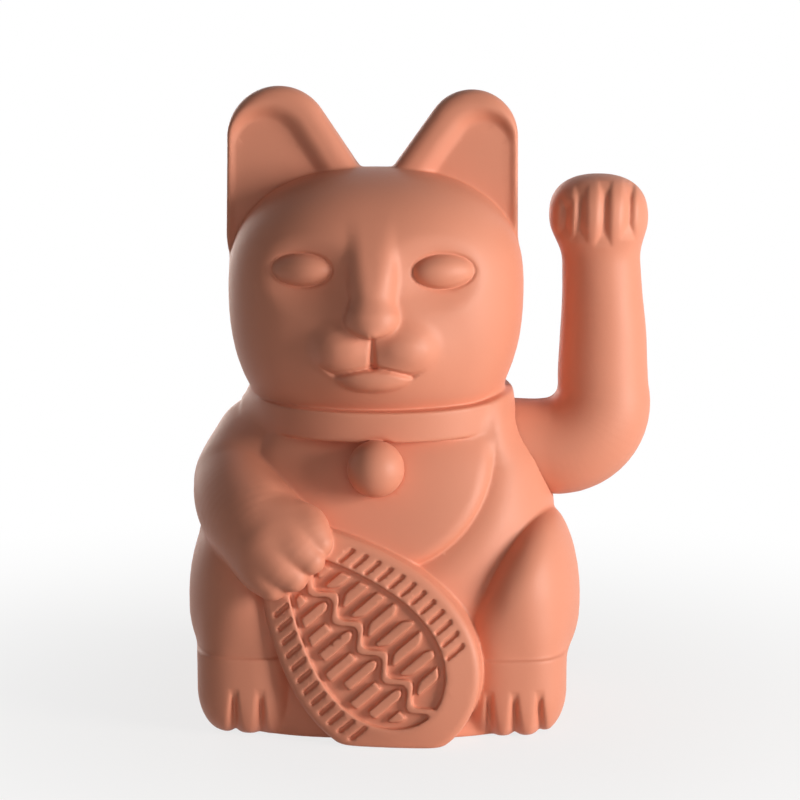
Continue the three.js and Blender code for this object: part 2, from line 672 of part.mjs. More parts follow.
// Where the four shell bosses stand: just inside the plate's edge, at an angle round from the side
function bossPlaces() {
  return [-FRONT_BOSS_ANGLE, REAR_BOSS_ANGLE].flatMap((angle) =>
    mirrored((side) => {
      const c = Math.cos(radians(angle));
      const s = Math.sin(radians(angle));
      const halfWidth = BASE_HALF_WIDTH - WALL;
      const halfDepth = BASE_HALF_DEPTH - WALL;
      const shares = (c / halfWidth) ** TORSO_POWER + Math.abs(s / halfDepth) ** TORSO_POWER;
      const size = shares ** (-1 / TORSO_POWER);
      const reach = size - FIT - PLATE_EDGE - SCREW_HEAD_RADIUS - FIT;
      return v(side * c * reach, TORSO_BACKSET + s * reach, 0);
    }),
  );
}

const bosses = bossPlaces();
const bossFoot = PLATE_THICKNESS + FIT;

function bodyShells() {
  const skin = join(
    torso(0), head(0, 26, 13), mirrored(ear), face(), collar(), belly(), bell(),
    mirrored(haunch), mirrored(foot), tail(), restingArm(), coin(),
  ).intersect(above(0));
  const pocketRadius = ARM_ROOT_RADIUS + SWING_GAP;
  const pocket = rod(pocketRadius, onAxle(POCKET_FLOOR), onAxle(FAR), 32);
  const pocketWall = rod(pocketRadius + WALL, onAxle(POCKET_FLOOR - WALL), onAxle(FAR), 32);
  const openBottom = loft([-WALL, WALL].map((z) => baseOutline(WALL, z)));
  const cavity = cut(join(torso(WALL), head(WALL, 20, 9), openBottom), pocketWall);
  const outside = cut(skin, pocket);
  const axleHole = rod(AXLE_RADIUS + 1, onAxle(0), onAxle(FAR));
  const posts = bosses.flatMap((p) => {
    const rib = p.clone().setLength(p.length() + SHELL_BOSS_RADIUS);
    return [p, rib].map((q) => {
      const [low, high] = [q.clone().setZ(bossFoot), q.clone().setZ(bossFoot + SHELL_BOSS_HEIGHT)];
      return rod(SHELL_BOSS_RADIUS, low, high, 12).intersect(outside);
    });
  });
  const pilots = bosses.map((p) =>
    rod(SCREW_RADIUS + FIT, v(p.x, p.y, 0), v(p.x, p.y, bossFoot + SCREW_LENGTH), 10),
  );
  const whole = cut(join(cut(outside, cavity), posts), axleHole, pilots);
  return [whole.intersect(front), whole.intersect(rear)];
}

// Waving arm

const armRoot = POCKET_FLOOR + SWING_GAP;
const elbowCorner = v(POCKET_FLOOR + ELBOW_REACH, 0, AXLE_HEIGHT + ARM_ROOT_RADIUS + ELBOW_CREASE);
const forearmLine = elbowCorner.x + ELBOW_CREASE + ELBOW_RADIUS;
const wristLine = forearmLine - WRIST_LEAN;
const raised = (x, rise) => v(x, 0, AXLE_HEIGHT + rise);

// The arm runs out of the pocket, turns up round the corner of the elbow and ends in the paw
function armTube(inset, rootEnd, pawEnd) {
  const outward = v(1, 0, 0);
  const upward = v(0, 0, 1);
  const stations = [[onAxle(rootEnd), outward, ARM_ROOT_RADIUS - inset]];
  const turns = 5;
  for (let i = 0; i <= turns; i++) {
    const angle = (Math.PI / 2) * (i / turns);
    const radius = THREE.MathUtils.lerp(ARM_ROOT_RADIUS, ELBOW_RADIUS, i / turns);
    const ahead = v(Math.cos(angle), 0, Math.sin(angle));
    const down = v(Math.sin(angle), 0, -Math.cos(angle));
    stations.push([elbowCorner.clone().addScaledVector(down, ELBOW_CREASE + radius), ahead, radius - inset]);
  }
  stations.push([raised(forearmLine, FOREARM_RISE), upward, FOREARM_RADIUS - inset]);
  const steps = 3;
  for (let i = 1; i <= steps; i++) {
    const t = i / steps;
    const ease = t * t * (3 - 2 * t);
    const rise = THREE.MathUtils.lerp(FOREARM_RISE, WRIST_RISE, t);
    const radius = THREE.MathUtils.lerp(FOREARM_RADIUS, WRIST_RADIUS, ease);
    stations.push([raised(THREE.MathUtils.lerp(forearmLine, wristLine, t), rise), upward, radius - inset]);
  }
  stations.push([raised(wristLine, pawEnd), upward, WRIST_RADIUS - inset]);
  return sweep(stations, v(0, 1, 0), 20);
}

// A palm with grooves down its front between the fingers
function paw() {
  const middle = raised(wristLine, PAW_RISE).setY(-PAW_FORWARD);
  const half = v(PAW_HALF_WIDTH, PAW_HALF_DEPTH, PAW_HALF_HEIGHT);
  const pitch = (2 * PAW_HALF_WIDTH) / FINGER_COUNT;
  const slots = [-1, 0, 1].map((i) => {
    const [low, high] = [-0.5, 0.5].map((share) => middle.x + i * pitch + share * FINGER_GROOVE);
    const reach = PAW_HALF_HEIGHT * 0.7;
    return block(v(low, -FAR, middle.z - reach), v(high, middle.y, middle.z + reach));
  });
  return grooved(middle, half, slots);
}

function armHalves() {
  const outside = join(armTube(0, armRoot, PAW_RISE), paw());
  const hollow = cut(outside, armTube(ARM_WALL, armRoot - 1, WRIST_RISE + ARM_WALL));
  return [hollow.intersect(front), hollow.intersect(rear)];
}

const axleOuterEnd = armRoot + FIT + HUB_THICKNESS + HUB_SOCKET_LENGTH - FIT;

function armHub() {
  const start = armRoot + FIT;
  const disc = rod(ARM_ROOT_RADIUS - ARM_WALL - FIT, onAxle(start), onAxle(start + HUB_THICKNESS), 28);
  const socket = rod(HUB_SOCKET_RADIUS, onAxle(start), onAxle(start + HUB_THICKNESS + HUB_SOCKET_LENGTH));
  return cut(join(disc, socket), rod(AXLE_RADIUS + RUN, onAxle(0), onAxle(FAR)));
}

// Base plate, battery bay and door

const cellRadius = CELL_DIAMETER / 2;
const cellHeight = PLATE_THICKNESS + BAY_CLEARANCE + cellRadius;
const bayHalfLength = (CELL_LENGTH + SPRING_LENGTH) / 2 + CONTACT_THICKNESS + 2 * FIT;
const bayHalfWidth = cellRadius + BAY_CLEARANCE;
const bayRoof = cellHeight + cellRadius + BAY_CLEARANCE;
const bayTop = bayRoof + BAY_WALL;
const doorRecess = DOOR_THICKNESS + 2 * FIT;
const doorHalfLength = bayHalfLength + DOOR_LIP;
const doorHalfWidth = bayHalfWidth + DOOR_LIP;
const hinge = v(-doorHalfLength + DOOR_THICKNESS / 2, CELL_BACK, FIT + DOOR_THICKNESS / 2);
const bracketFoot = PLATE_THICKNESS + FIT;
const boardUnderside = FIT + SCREW_LENGTH + BOARD_CLEARANCE;
const boardTop = boardUnderside + BOARD_THICKNESS;
const boardScrews = mirrored((side) => v(BRACKET_MIDDLE + side * BOARD_SCREW_SPREAD, -BOARD_SCREW_FRONT, 0));
const bracketScrewBack = (BOARD_REAR - BRACKET_FOOT_FRONT) / 2;
const bracketScrews = mirrored((side) => v(BRACKET_MIDDLE + side * BOARD_SCREW_SPREAD, bracketScrewBack, 0));
const screwHole = (p, low, high) => rod(SCREW_RADIUS + FIT, p.clone().setZ(low), p.clone().setZ(high), 10);
const tabHalf = CONTACT_TAB_WIDTH / 2;

// A contact plate stands at one end of the bay, with a solder tab through the roof
function contact(side) {
  const inner = bayHalfLength - FIT;
  const [low, high] = [inner - CONTACT_THICKNESS, inner].map((x) => side * x).sort((a, b) => a - b);
  const half = CONTACT_WIDTH / 2;
  const plate = block(
    v(low, CELL_BACK - half, cellHeight - half),
    v(high, CELL_BACK + half, cellHeight + half),
  );
  const tabTop = bayTop + CONTACT_TAB_RISE;
  const tab = block(v(low, CELL_BACK - tabHalf, cellHeight), v(high, CELL_BACK + tabHalf, tabTop));
  return join(plate, tab);
}

function basePlate() {
  const plate = loft([0, PLATE_THICKNESS].map((z) => baseOutline(WALL + FIT, z)));
  const bayAt = (grow, low, high) =>
    block(
      v(-bayHalfLength - grow, CELL_BACK - bayHalfWidth - grow, low),
      v(bayHalfLength + grow, CELL_BACK + bayHalfWidth + grow, high),
    );
  const doorPlace = bayAt(DOOR_LIP + FIT, -1, doorRecess);
  const tabSlots = mirrored((side) => {
    const inner = bayHalfLength - CONTACT_THICKNESS - 2 * FIT;
    const [low, high] = [inner, bayHalfLength].map((x) => side * x).sort((a, b) => a - b);
    const half = tabHalf + FIT;
    return block(v(low, CELL_BACK - half, bayRoof - 1), v(high, CELL_BACK + half, bayTop + 1));
  });
  const pins = rod(DOOR_THICKNESS / 2 - FIT / 2, v(hinge.x, -FAR, hinge.z), v(hinge.x, FAR, hinge.z), 12);
  const pinRoom = pins.intersect(bayAt(DOOR_LIP + 2 * FIT + DOOR_LIP, -1, PLATE_THICKNESS));
  const boardPosts = boardScrews.map((p) =>
    rod(POST_RADIUS, p.clone().setZ(1), p.clone().setZ(boardUnderside - FIT), 10),
  );
  const screwHoles = [...bosses, ...bracketScrews].map((p) => screwHole(p, -1, bracketFoot));
  const headRooms = [...bosses, ...bracketScrews].map((p) =>
    rod(SCREW_HEAD_RADIUS + FIT, p.clone().setZ(-1), p.clone().setZ(SCREW_HEAD_HEIGHT + 2 * FIT), 10),
  );
  const boardPilots = boardScrews.map((p) => screwHole(p, boardUnderside - SCREW_LENGTH, FAR));
  const box = cut(join(plate, bayAt(BAY_WALL, 0, bayTop), boardPosts), bayAt(0, -1, bayRoof));
  return cut(box, doorPlace, pinRoom, tabSlots, screwHoles, headRooms, boardPilots);
}

function batteryDoor() {
  const halfThick = DOOR_THICKNESS / 2;
  const low = v(hinge.x, CELL_BACK - doorHalfWidth, FIT);
  const leaf = block(low, v(doorHalfLength, CELL_BACK + doorHalfWidth, FIT + DOOR_THICKNESS));
  const onHinge = (y) => v(hinge.x, CELL_BACK + y, hinge.z);
  const barrel = rod(halfThick, onHinge(-doorHalfWidth), onHinge(doorHalfWidth), 16);
  const pinReach = doorHalfWidth + DOOR_LIP;
  const pin = rod(halfThick - FIT, onHinge(-pinReach), onHinge(pinReach), 12);
  const latchHalf = DOOR_LATCH_WIDTH / 2;
  const latch = block(
    v(bayHalfLength - FIT - DOOR_LATCH_THICKNESS, CELL_BACK - latchHalf, FIT),
    v(bayHalfLength - FIT, CELL_BACK + latchHalf, FIT + DOOR_THICKNESS + DOOR_LATCH_HEIGHT),
  );
  const notch = v(doorHalfLength, CELL_BACK, FIT + halfThick);
  const thumb = rod(DOOR_LATCH_WIDTH / 2, notch.clone().setZ(-1), notch, 16);
  return cut(join(leaf, barrel, pin, latch), thumb);
}

function batteryCell() {
  const start = v(bayHalfLength - 2 * FIT - CONTACT_THICKNESS, CELL_BACK, cellHeight);
  const end = start.clone().add(v(-CELL_LENGTH, 0, 0));
  const edge = 0.8;
  const profile = [
    [0, 0], [CELL_PIP_RADIUS, 0], [CELL_PIP_RADIUS, CELL_PIP_LENGTH], [cellRadius - edge, CELL_PIP_LENGTH],
    [cellRadius, CELL_PIP_LENGTH + edge], [cellRadius, CELL_LENGTH - edge], [cellRadius - edge, CELL_LENGTH],
    [0, CELL_LENGTH],
  ];
  return revolve(profile, start, end, 20);
}

// The conical spring that presses on the flat end of the cell: one wire, as an open helix
function batterySpring() {
  const plate = -bayHalfLength + CONTACT_THICKNESS + 2 * FIT + SPRING_WIRE_RADIUS;
  const cellEnd = bayHalfLength - 2 * FIT - CONTACT_THICKNESS - CELL_LENGTH - FIT - SPRING_WIRE_RADIUS;
  const path = (t) => {
    const angle = 2 * Math.PI * SPRING_TURNS * t;
    const radius = THREE.MathUtils.lerp(SPRING_WIDE_RADIUS, SPRING_NARROW_RADIUS, t);
    const x = THREE.MathUtils.lerp(plate, cellEnd, t);
    return v(x, CELL_BACK + radius * Math.cos(angle), cellHeight + radius * Math.sin(angle));
  };
  const steps = 10 * SPRING_TURNS;
  const sides = 5;
  const rings = [];
  const centres = [];
  for (let i = 0; i <= steps; i++) {
    const t = i / steps;
    const centre = path(t);
    const ahead = path(t + 1e-4).sub(path(t - 1e-4)).normalize();
    const out = v(0, centre.y - CELL_BACK, centre.z - cellHeight).normalize();
    const up = ahead.clone().cross(out).normalize();
    const side = up.clone().cross(ahead);
    centres.push(centre);
    rings.push(
      Array.from({ length: sides }, (_, j) => {
        const angle = (2 * Math.PI * j) / sides;
        return centre.clone()
          .addScaledVector(side, SPRING_WIRE_RADIUS * Math.cos(angle))
          .addScaledVector(up, SPRING_WIRE_RADIUS * Math.sin(angle));
      }),
    );
  }
  let gap = Infinity;
  for (let i = 0; i < centres.length; i++) {
    for (let j = i + 5; j < centres.length; j++) gap = Math.min(gap, centres[i].distanceTo(centres[j]));
  }
  console.log(`battery_spring: least gap between turns ${(gap - 2 * SPRING_WIRE_RADIUS).toFixed(2)} mm`);
  return loft(rings);
}

function screw(foot, up = 1) {
  const profile = [
    [0, 0], [SCREW_HEAD_RADIUS, 0], [SCREW_HEAD_RADIUS, SCREW_HEAD_HEIGHT], [SCREW_RADIUS, SCREW_HEAD_HEIGHT],
    [SCREW_RADIUS, SCREW_LENGTH - SCREW_RADIUS], [0, SCREW_LENGTH],
  ];
  return revolve(profile, foot, foot.clone().add(v(0, 0, up)), 8);
}

// Swing bracket, bushes and pendulum

const uprightInner = BRACKET_GAP / 2;
const uprightOuter = uprightInner + UPRIGHT_THICKNESS;

function swingBracket() {
  const footRear = BOARD_REAR;
  const profile = new THREE.Shape();
  profile.moveTo(-BRACKET_FOOT_FRONT, bracketFoot);
  profile.lineTo(footRear, bracketFoot);
  profile.lineTo(UPRIGHT_TOP_RADIUS, AXLE_HEIGHT);
  profile.absarc(0, AXLE_HEIGHT, UPRIGHT_TOP_RADIUS, 0, Math.PI, false);
  profile.closePath();
  const uprights = [-uprightOuter, uprightInner].map((x) => {
    const sheet = new THREE.ExtrudeGeometry(profile, {
      depth: UPRIGHT_THICKNESS,
      bevelEnabled: false,
      curveSegments: 10,
    });
    return solid(sheet.rotateX(Math.PI / 2).rotateZ(Math.PI / 2).translate(BRACKET_MIDDLE + x, 0, 0));
  });
  const sole = block(
    v(BRACKET_MIDDLE - uprightOuter, -BRACKET_FOOT_FRONT, bracketFoot),
    v(BRACKET_MIDDLE + uprightOuter, footRear, bracketFoot + BRACKET_FOOT_THICKNESS),
  );
  const bushHole = rod(BUSH_RADIUS + FIT / 2, onAxle(-FAR), onAxle(FAR));
  const pilots = bracketScrews.map((p) => screwHole(p, 0, AXLE_HEIGHT / 2));
  return cut(join(uprights, sole), bushHole, pilots);
}

// A flanged bush, with its flange on the pendulum's side of the upright
function axleBush(side) {
  const start = onAxle(BRACKET_MIDDLE + side * (uprightInner - BUSH_FLANGE - FIT));
  const length = BUSH_FLANGE + FIT + UPRIGHT_THICKNESS;
  const bore = AXLE_RADIUS + RUN;
  const profile = [
    [bore, 0], [BUSH_FLANGE_RADIUS, 0], [BUSH_FLANGE_RADIUS, BUSH_FLANGE], [BUSH_RADIUS, BUSH_FLANGE],
    [BUSH_RADIUS, length], [bore, length], [bore, 0],
  ];
  return revolve(profile, start, start.clone().add(v(side, 0, 0)));
}

const axleInnerEnd = BRACKET_MIDDLE - uprightOuter - AXLE_STUB;
const bossHalf = uprightInner - BUSH_FLANGE - 2 * FIT;
const magnetFace = boardTop + FIT + BOBBIN_HEIGHT + COIL_GAP;
const cupRadius = MAGNET_RADIUS + FIT + CUP_WALL;
const weightFoot = magnetFace + MAGNET_HEIGHT + 2 * FIT + WEIGHT_WEB;
const weightCentre = v(BRACKET_MIDDLE, WEIGHT_BACK, weightFoot + WEIGHT_RADIUS);

function pendulumLever() {
  const outer = BRACKET_MIDDLE;
  const half = v(LEVER_THICKNESS / 2, 0, 0);
  const bar = block(
    v(outer - half.x, -LEVER_HALF_WIDTH, magnetFace + MAGNET_HEIGHT),
    v(outer + half.x, LEVER_HALF_WIDTH, AXLE_HEIGHT),
  );
  const boss = rod(LEVER_BOSS_RADIUS, onAxle(outer - bossHalf), onAxle(outer + bossHalf));
  const eyeRadius = WEIGHT_RADIUS + FIT;
  const eye = rod(eyeRadius + CUP_WALL, weightCentre.clone().sub(half), weightCentre.clone().add(half), 18);
  const eyeHole = rod(eyeRadius, weightCentre.clone().setX(-FAR), weightCentre.clone().setX(FAR), 18);
  const cupTop = magnetFace + MAGNET_HEIGHT + FIT + CUP_WALL;
  const cup = rod(cupRadius, v(outer, 0, magnetFace), v(outer, 0, cupTop), 18);
  const cupHole = rod(MAGNET_RADIUS + FIT, v(outer, 0, 0), v(outer, 0, magnetFace + MAGNET_HEIGHT + FIT), 18);
  const bore = rod(AXLE_RADIUS + RUN, onAxle(-FAR), onAxle(FAR));
  return cut(join(bar, boss, eye, cup), eyeHole, cupHole, bore);
}

// Drive coil and circuit board

const coilFoot = v(BRACKET_MIDDLE, 0, boardTop + FIT);

function coilBobbin() {
  const profile = [
    [BOBBIN_BORE, 0], [BOBBIN_RADIUS, 0], [BOBBIN_RADIUS, BOBBIN_FLANGE], [BOBBIN_CORE_RADIUS, BOBBIN_FLANGE],
    [BOBBIN_CORE_RADIUS, BOBBIN_HEIGHT - BOBBIN_FLANGE], [BOBBIN_RADIUS, BOBBIN_HEIGHT - BOBBIN_FLANGE],
    [BOBBIN_RADIUS, BOBBIN_HEIGHT], [BOBBIN_BORE, BOBBIN_HEIGHT], [BOBBIN_BORE, 0],
  ];
  return revolve(profile, coilFoot, coilFoot.clone().add(v(0, 0, 1)), 18);
}

function coilWinding() {
  const low = coilFoot.clone().add(v(0, 0, BOBBIN_FLANGE + FIT));
  const high = coilFoot.clone().add(v(0, 0, BOBBIN_HEIGHT - BOBBIN_FLANGE - FIT));
  return ring(BOBBIN_CORE_RADIUS + FIT, BOBBIN_RADIUS - FIT, low, high, 18);
}

function circuitBoard() {
  const halfWidth = BOARD_WIDTH / 2;
  const board = block(
    v(BRACKET_MIDDLE - halfWidth, -BOARD_FRONT, boardUnderside),
    v(BRACKET_MIDDLE + halfWidth, BOARD_REAR, boardTop),
  );
  return cut(board, boardScrews.map((p) => screwHole(p, 0, FAR)));
}

const onBoard = (across, y, up = FIT) => v(BRACKET_MIDDLE + across, y, boardTop + up);
const capacitorPlace = onBoard(-COMPONENT_SPREAD, -COMPONENT_FRONT);
const transistorPlace = onBoard(COMPONENT_SPREAD, -COMPONENT_FRONT);
const resistorPlace = onBoard(-RESISTOR_LENGTH / 2, -RESISTOR_FRONT, FIT + RESISTOR_RADIUS);

function transistor() {
  const top = transistorPlace.clone().add(v(0, 0, TRANSISTOR_HEIGHT));
  const can = rod(TRANSISTOR_RADIUS, transistorPlace, top, 18);
  const flat = transistorPlace.y - TRANSISTOR_RADIUS * 0.55;
  return cut(can, block(v(-FAR, -FAR, -FAR), v(FAR, flat, FAR)));
}

// An insulated lead along a smooth route
function lead(points) {
  const curve = new THREE.CatmullRomCurve3(points, false, 'centripetal');
  const section = new THREE.Shape().absarc(0, 0, LEAD_RADIUS, 0, 2 * Math.PI, false);
  const options = { steps: 16, extrudePath: curve, curveSegments: 3, bevelEnabled: false };
  return solid(new THREE.ExtrudeGeometry(section, options));
}

// From a contact's tab over the front edge of the bay, then behind the bracket to the board
function leadRoute(side) {
  const tabX = side * (bayHalfLength - FIT - CONTACT_THICKNESS / 2);
  const tabTop = bayTop + CONTACT_TAB_RISE - LEAD_RADIUS;
  const bayFront = CELL_BACK - bayHalfWidth - BAY_WALL;
  const channel = (bayFront + BOARD_REAR) / 2;
  const padBack = BOARD_REAR - LEAD_RADIUS - FIT;
  const pad = onBoard(side * (BOARD_WIDTH / 2 - LEAD_RADIUS), padBack, FIT + LEAD_RADIUS);
  return [
    v(tabX, CELL_BACK - tabHalf - FIT, tabTop),
    v(tabX, bayFront + 3 * LEAD_RADIUS, tabTop),
    v(tabX, channel, bayTop + LEAD_RADIUS / 2),
    v(tabX - side * 3 * LEAD_RADIUS, channel, (bayTop + pad.z) / 2),
    v(pad.x + side * 3 * LEAD_RADIUS, channel, pad.z + 2 * LEAD_RADIUS),
    v(pad.x, channel, pad.z + LEAD_RADIUS),
    pad,
  ];
}

// Finishes

function finish(color, roughness, metalness = 0) {
  return new THREE.MeshStandardMaterial({ color, roughness, metalness });
}

const CORAL_PAINT = finish(0xe09275, 0.6);
const BASE_PLASTIC = finish(0xd98c70, 0.65);
const WHITE_PLASTIC = finish(0xe6e3da, 0.5);
const STEEL = finish(0xb9bcc0, 0.35, 1);
const NICKEL = finish(0xc9c8c2, 0.25, 1);
const BRONZE = finish(0xb08a4e, 0.4, 1);
const COPPER = finish(0xb4683a, 0.4, 0.8);
const BOARD_PHENOLIC = finish(0x9a6a35, 0.7);
const BLACK_RESIN = finish(0x222324, 0.5);
const CELL_SLEEVE = finish(0x3f5f4a, 0.35, 0.3);
const RED_WIRE = finish(0xb3302a, 0.5);
const BLACK_WIRE = finish(0x242424, 0.5);
const TAN_RESISTOR = finish(0xcdb28a, 0.5);

// Assembly: the still pieces, the door and the swinging arm are three groups

function piece(name, body, material) {
  const mesh = new THREE.Mesh(geometryOf(body), material);
  mesh.name = name;
  return mesh;
}

const [frontShell, rearShell] = bodyShells();
const [armFront, armRear] = armHalves();
const capacitorTop = capacitorPlace.clone().add(v(0, 0, CAPACITOR_HEIGHT));
const capacitor = rod(CAPACITOR_RADIUS, capacitorPlace, capacitorTop);
const resistor = rod(RESISTOR_RADIUS, resistorPlace, resistorPlace.clone().add(v(RESISTOR_LENGTH, 0, 0)), 12);
const [weightStart, weightEnd] = [-0.5, 0.5].map((share) =>
  weightCentre.clone().add(v(share * WEIGHT_LENGTH, 0, 0)),
);
const weight = rod(WEIGHT_RADIUS, weightStart, weightEnd, 18);
const magnetFoot = v(BRACKET_MIDDLE, 0, magnetFace);
const magnet = rod(MAGNET_RADIUS, magnetFoot, magnetFoot.clone().setZ(magnetFace + MAGNET_HEIGHT), 18);

const still = new THREE.Group().add(
  piece('front_shell', frontShell, CORAL_PAINT),
  piece('rear_shell', rearShell, CORAL_PAINT),
  piece('base_plate', basePlate(), BASE_PLASTIC),
  piece('battery_cell', batteryCell(), CELL_SLEEVE),
  piece('battery_spring', batterySpring(), STEEL),
  piece('spring_contact', contact(-1), NICKEL),
  piece('pip_contact', contact(1), NICKEL),
  piece('swing_bracket', swingBracket(), WHITE_PLASTIC),
  piece('inner_bush', axleBush(-1), BRONZE),
  piece('outer_bush', axleBush(1), BRONZE),
  piece('circuit_board', circuitBoard(), BOARD_PHENOLIC),
  piece('coil_bobbin', coilBobbin(), WHITE_PLASTIC),
  piece('coil_winding', coilWinding(), COPPER),
  piece('transistor', transistor(), BLACK_RESIN),
  piece('capacitor', capacitor, BLACK_RESIN),
  piece('resistor', resistor, TAN_RESISTOR),
  piece('negative_lead', lead(leadRoute(-1)), BLACK_WIRE),
  piece('positive_lead', lead(leadRoute(1)), RED_WIRE),
);
bosses.forEach((p, i) => {
  still.add(piece(`base_screw_${i + 1}`, screw(p.clone().setZ(FIT)), STEEL));
});
bracketScrews.forEach((p, i) => {
  still.add(piece(`bracket_screw_${i + 1}`, screw(p.clone().setZ(FIT)), STEEL));
});
boardScrews.forEach((p, i) => {
  const headTop = p.clone().setZ(boardTop + FIT + SCREW_HEAD_HEIGHT);
  still.add(piece(`board_screw_${i + 1}`, screw(headTop, -1), STEEL));
});

const door = new THREE.Group().add(piece('battery_door', batteryDoor(), BASE_PLASTIC));

const swinging = new THREE.Group().add(
  piece('arm_front_half', armFront, CORAL_PAINT),
  piece('arm_rear_half', armRear, CORAL_PAINT),
  piece('arm_hub', armHub(), WHITE_PLASTIC),
  piece('axle', rod(AXLE_RADIUS, onAxle(axleInnerEnd), onAxle(axleOuterEnd)), STEEL),
  piece('pendulum_lever', pendulumLever(), WHITE_PLASTIC),
  piece('pendulum_weight', weight, STEEL),
  piece('pendulum_magnet', magnet, NICKEL),
);

export default new THREE.Group().add(still, door, swinging);
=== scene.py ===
"""Dresses a waving lucky cat figurine: painted skins, a plain base, its drive, and a pale studio."""

import copy
import math

import bpy
import numpy as np
import openvdb
from bpy.props import FloatProperty, FloatVectorProperty, PointerProperty
from mathutils import Euler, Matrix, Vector


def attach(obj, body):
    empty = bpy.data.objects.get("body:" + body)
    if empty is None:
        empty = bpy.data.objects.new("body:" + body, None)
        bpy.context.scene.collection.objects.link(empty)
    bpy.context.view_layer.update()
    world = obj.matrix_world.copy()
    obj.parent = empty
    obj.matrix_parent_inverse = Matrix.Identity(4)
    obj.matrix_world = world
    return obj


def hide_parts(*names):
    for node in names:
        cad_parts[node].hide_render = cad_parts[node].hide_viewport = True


bl_info = {
    "name": "Lucky Cat Figurine",
    "version": (1, 0, 0),
    "blender": (4, 5, 0),
    "location": "View3D > Sidebar > Lucky Cat",
    "description": "Builds the skins, finishes and studio of a waving lucky cat",
    "category": "Add Mesh",
}

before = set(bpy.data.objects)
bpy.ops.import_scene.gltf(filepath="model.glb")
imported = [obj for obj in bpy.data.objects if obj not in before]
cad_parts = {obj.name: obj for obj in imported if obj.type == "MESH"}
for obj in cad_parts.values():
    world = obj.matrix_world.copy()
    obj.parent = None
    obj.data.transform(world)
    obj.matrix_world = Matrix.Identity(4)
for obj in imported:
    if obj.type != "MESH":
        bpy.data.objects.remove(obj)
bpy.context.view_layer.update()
MM = 0.001


# Distances to simple forms, in millimetres, negative inside


class Form:
    """A distance function and the box that holds everything inside it."""

    def __init__(self, distance, low, high):
        self.distance = distance
        self.low = np.asarray(low, float)
        self.high = np.asarray(high, float)


def length_of(*parts):
    """The length of a vector, from its parts."""
    return np.sqrt(sum(part * part for part in parts))


def soft_min(a, b, radius):
    """The lesser of two distances, with a fillet of about that radius between them."""
    if radius <= 0:
        return np.minimum(a, b)
    share = np.maximum(radius - np.abs(a - b), 0) / radius
    return np.minimum(a, b) - share * share * radius / 4


def soft_max(a, b, radius):
    """The greater of two distances, with an edge round of about that radius between them."""
    return -soft_min(-a, -b, radius)


def together(forms, fillet):
    """Several forms as one, with a fillet where they meet."""

    def distance(x, y, z):
        whole = forms[0].distance(x, y, z)
        for form in forms[1:]:
            whole = soft_min(whole, form.distance(x, y, z), fillet)
        return whole

    return Form(distance, np.min([f.low for f in forms], 0), np.max([f.high for f in forms], 0))


def curve_through(knots, at):
    """A smooth line through (position, value) knots, as values at some positions."""
    knots = np.asarray(knots, float)
    where, value = knots[:, 0], knots[:, 1]
    slope = np.gradient(value, where)
    at = np.clip(at, where[0], where[-1])
    i = np.clip(np.searchsorted(where, at) - 1, 0, len(where) - 2)
    step = where[i + 1] - where[i]
    t = (at - where[i]) / step
    keep = (1 + 2 * t) * (1 - t) ** 2 * value[i] + t * t * (3 - 2 * t) * value[i + 1]
    bend = t * (1 - t) ** 2 * step * slope[i] - t * t * (1 - t) * step * slope[i + 1]
    return (keep + bend).astype(np.float32)


def oval_distance(places, halves, power):
    """The distance to an oval or ball, squarer as its power rises above 2, from places along its axes."""
    shares = [np.abs(place) / half for place, half in zip(places, halves)]
    level = np.maximum(sum(share**power for share in shares), 1e-9) ** (1 / power)
    slope = length_of(*(share ** (power - 1) / half for share, half in zip(shares, halves)))
    slope = np.maximum(slope * np.maximum(level, 1e-4) ** (1 - power), 1e-3)
    return (level - 1) / slope


def ball(centre, half, power=2.0, turn=None, below=None):
    """A ball with three half sizes, and a fourth for the part below its middle where one is given."""
    centre = np.asarray(centre, np.float32)
    half = np.asarray(half, np.float32)
    drop = half[2] if below is None else np.float32(below)
    spin = np.array((turn or Euler()).to_matrix(), np.float32)

    def distance(x, y, z):
        away = (x - centre[0], y - centre[1], z - centre[2])
        local = [sum(spin[j, i] * away[j] for j in range(3) if spin[j, i]) for i in range(3)]
        lift = half[2] if below is None else np.where(local[2] < 0, drop, half[2])
        return oval_distance(local, (half[0], half[1], lift), power)

    reach = np.array((half[0], half[1], max(half[2], drop)))
    if turn:
        reach[:] = reach.max()
    return Form(distance, centre - reach, centre + reach)


def limb(knots, stretches):
    """A round limb along a smooth line through knots of x, y, z and radius."""
    knots = np.asarray(knots, float)
    steps = np.linalg.norm(np.diff(knots[:, :3], axis=0), axis=1)
    along = np.concatenate(((0.0,), np.cumsum(steps)))
    at = np.linspace(0, along[-1], stretches + 1)
    line = np.stack([curve_through(np.stack((along, part), 1), at) for part in knots.T], 1)

    def distance(x, y, z):
        whole = None
        for a, b in zip(line[:-1], line[1:]):
            run = b - a
            share = (x - a[0]) * run[0] + (y - a[1]) * run[1] + (z - a[2]) * run[2]
            share = np.clip(share / float(run[:3] @ run[:3]), 0, 1)
            gap = length_of(*(p - a[i] - share * run[i] for i, p in enumerate((x, y, z))))
            stretch = gap - (a[3] + share * run[3])
            whole = stretch if whole is None else np.minimum(whole, stretch)
        return whole

    reach = line[:, 3:].max()
    return Form(distance, line[:, :3].min(0) - reach, line[:, :3].max(0) + reach)


def drum(start, length, radius, edge):
    """A round drum along X from its start, with an edge round."""
    start = np.asarray(start, np.float32)

    def distance(x, y, z):
        side = length_of(y - start[1], z - start[2]) - radius
        ends = np.abs(x - start[0] - length / 2) - length / 2
        return soft_max(side, ends, edge)

    return Form(distance, start - (0, radius, radius), start + (length, radius, radius))


GROOVE_EDGE = 0.8
GROOVE_FADE = 0.3  # share of a groove's length in which it deepens from each end


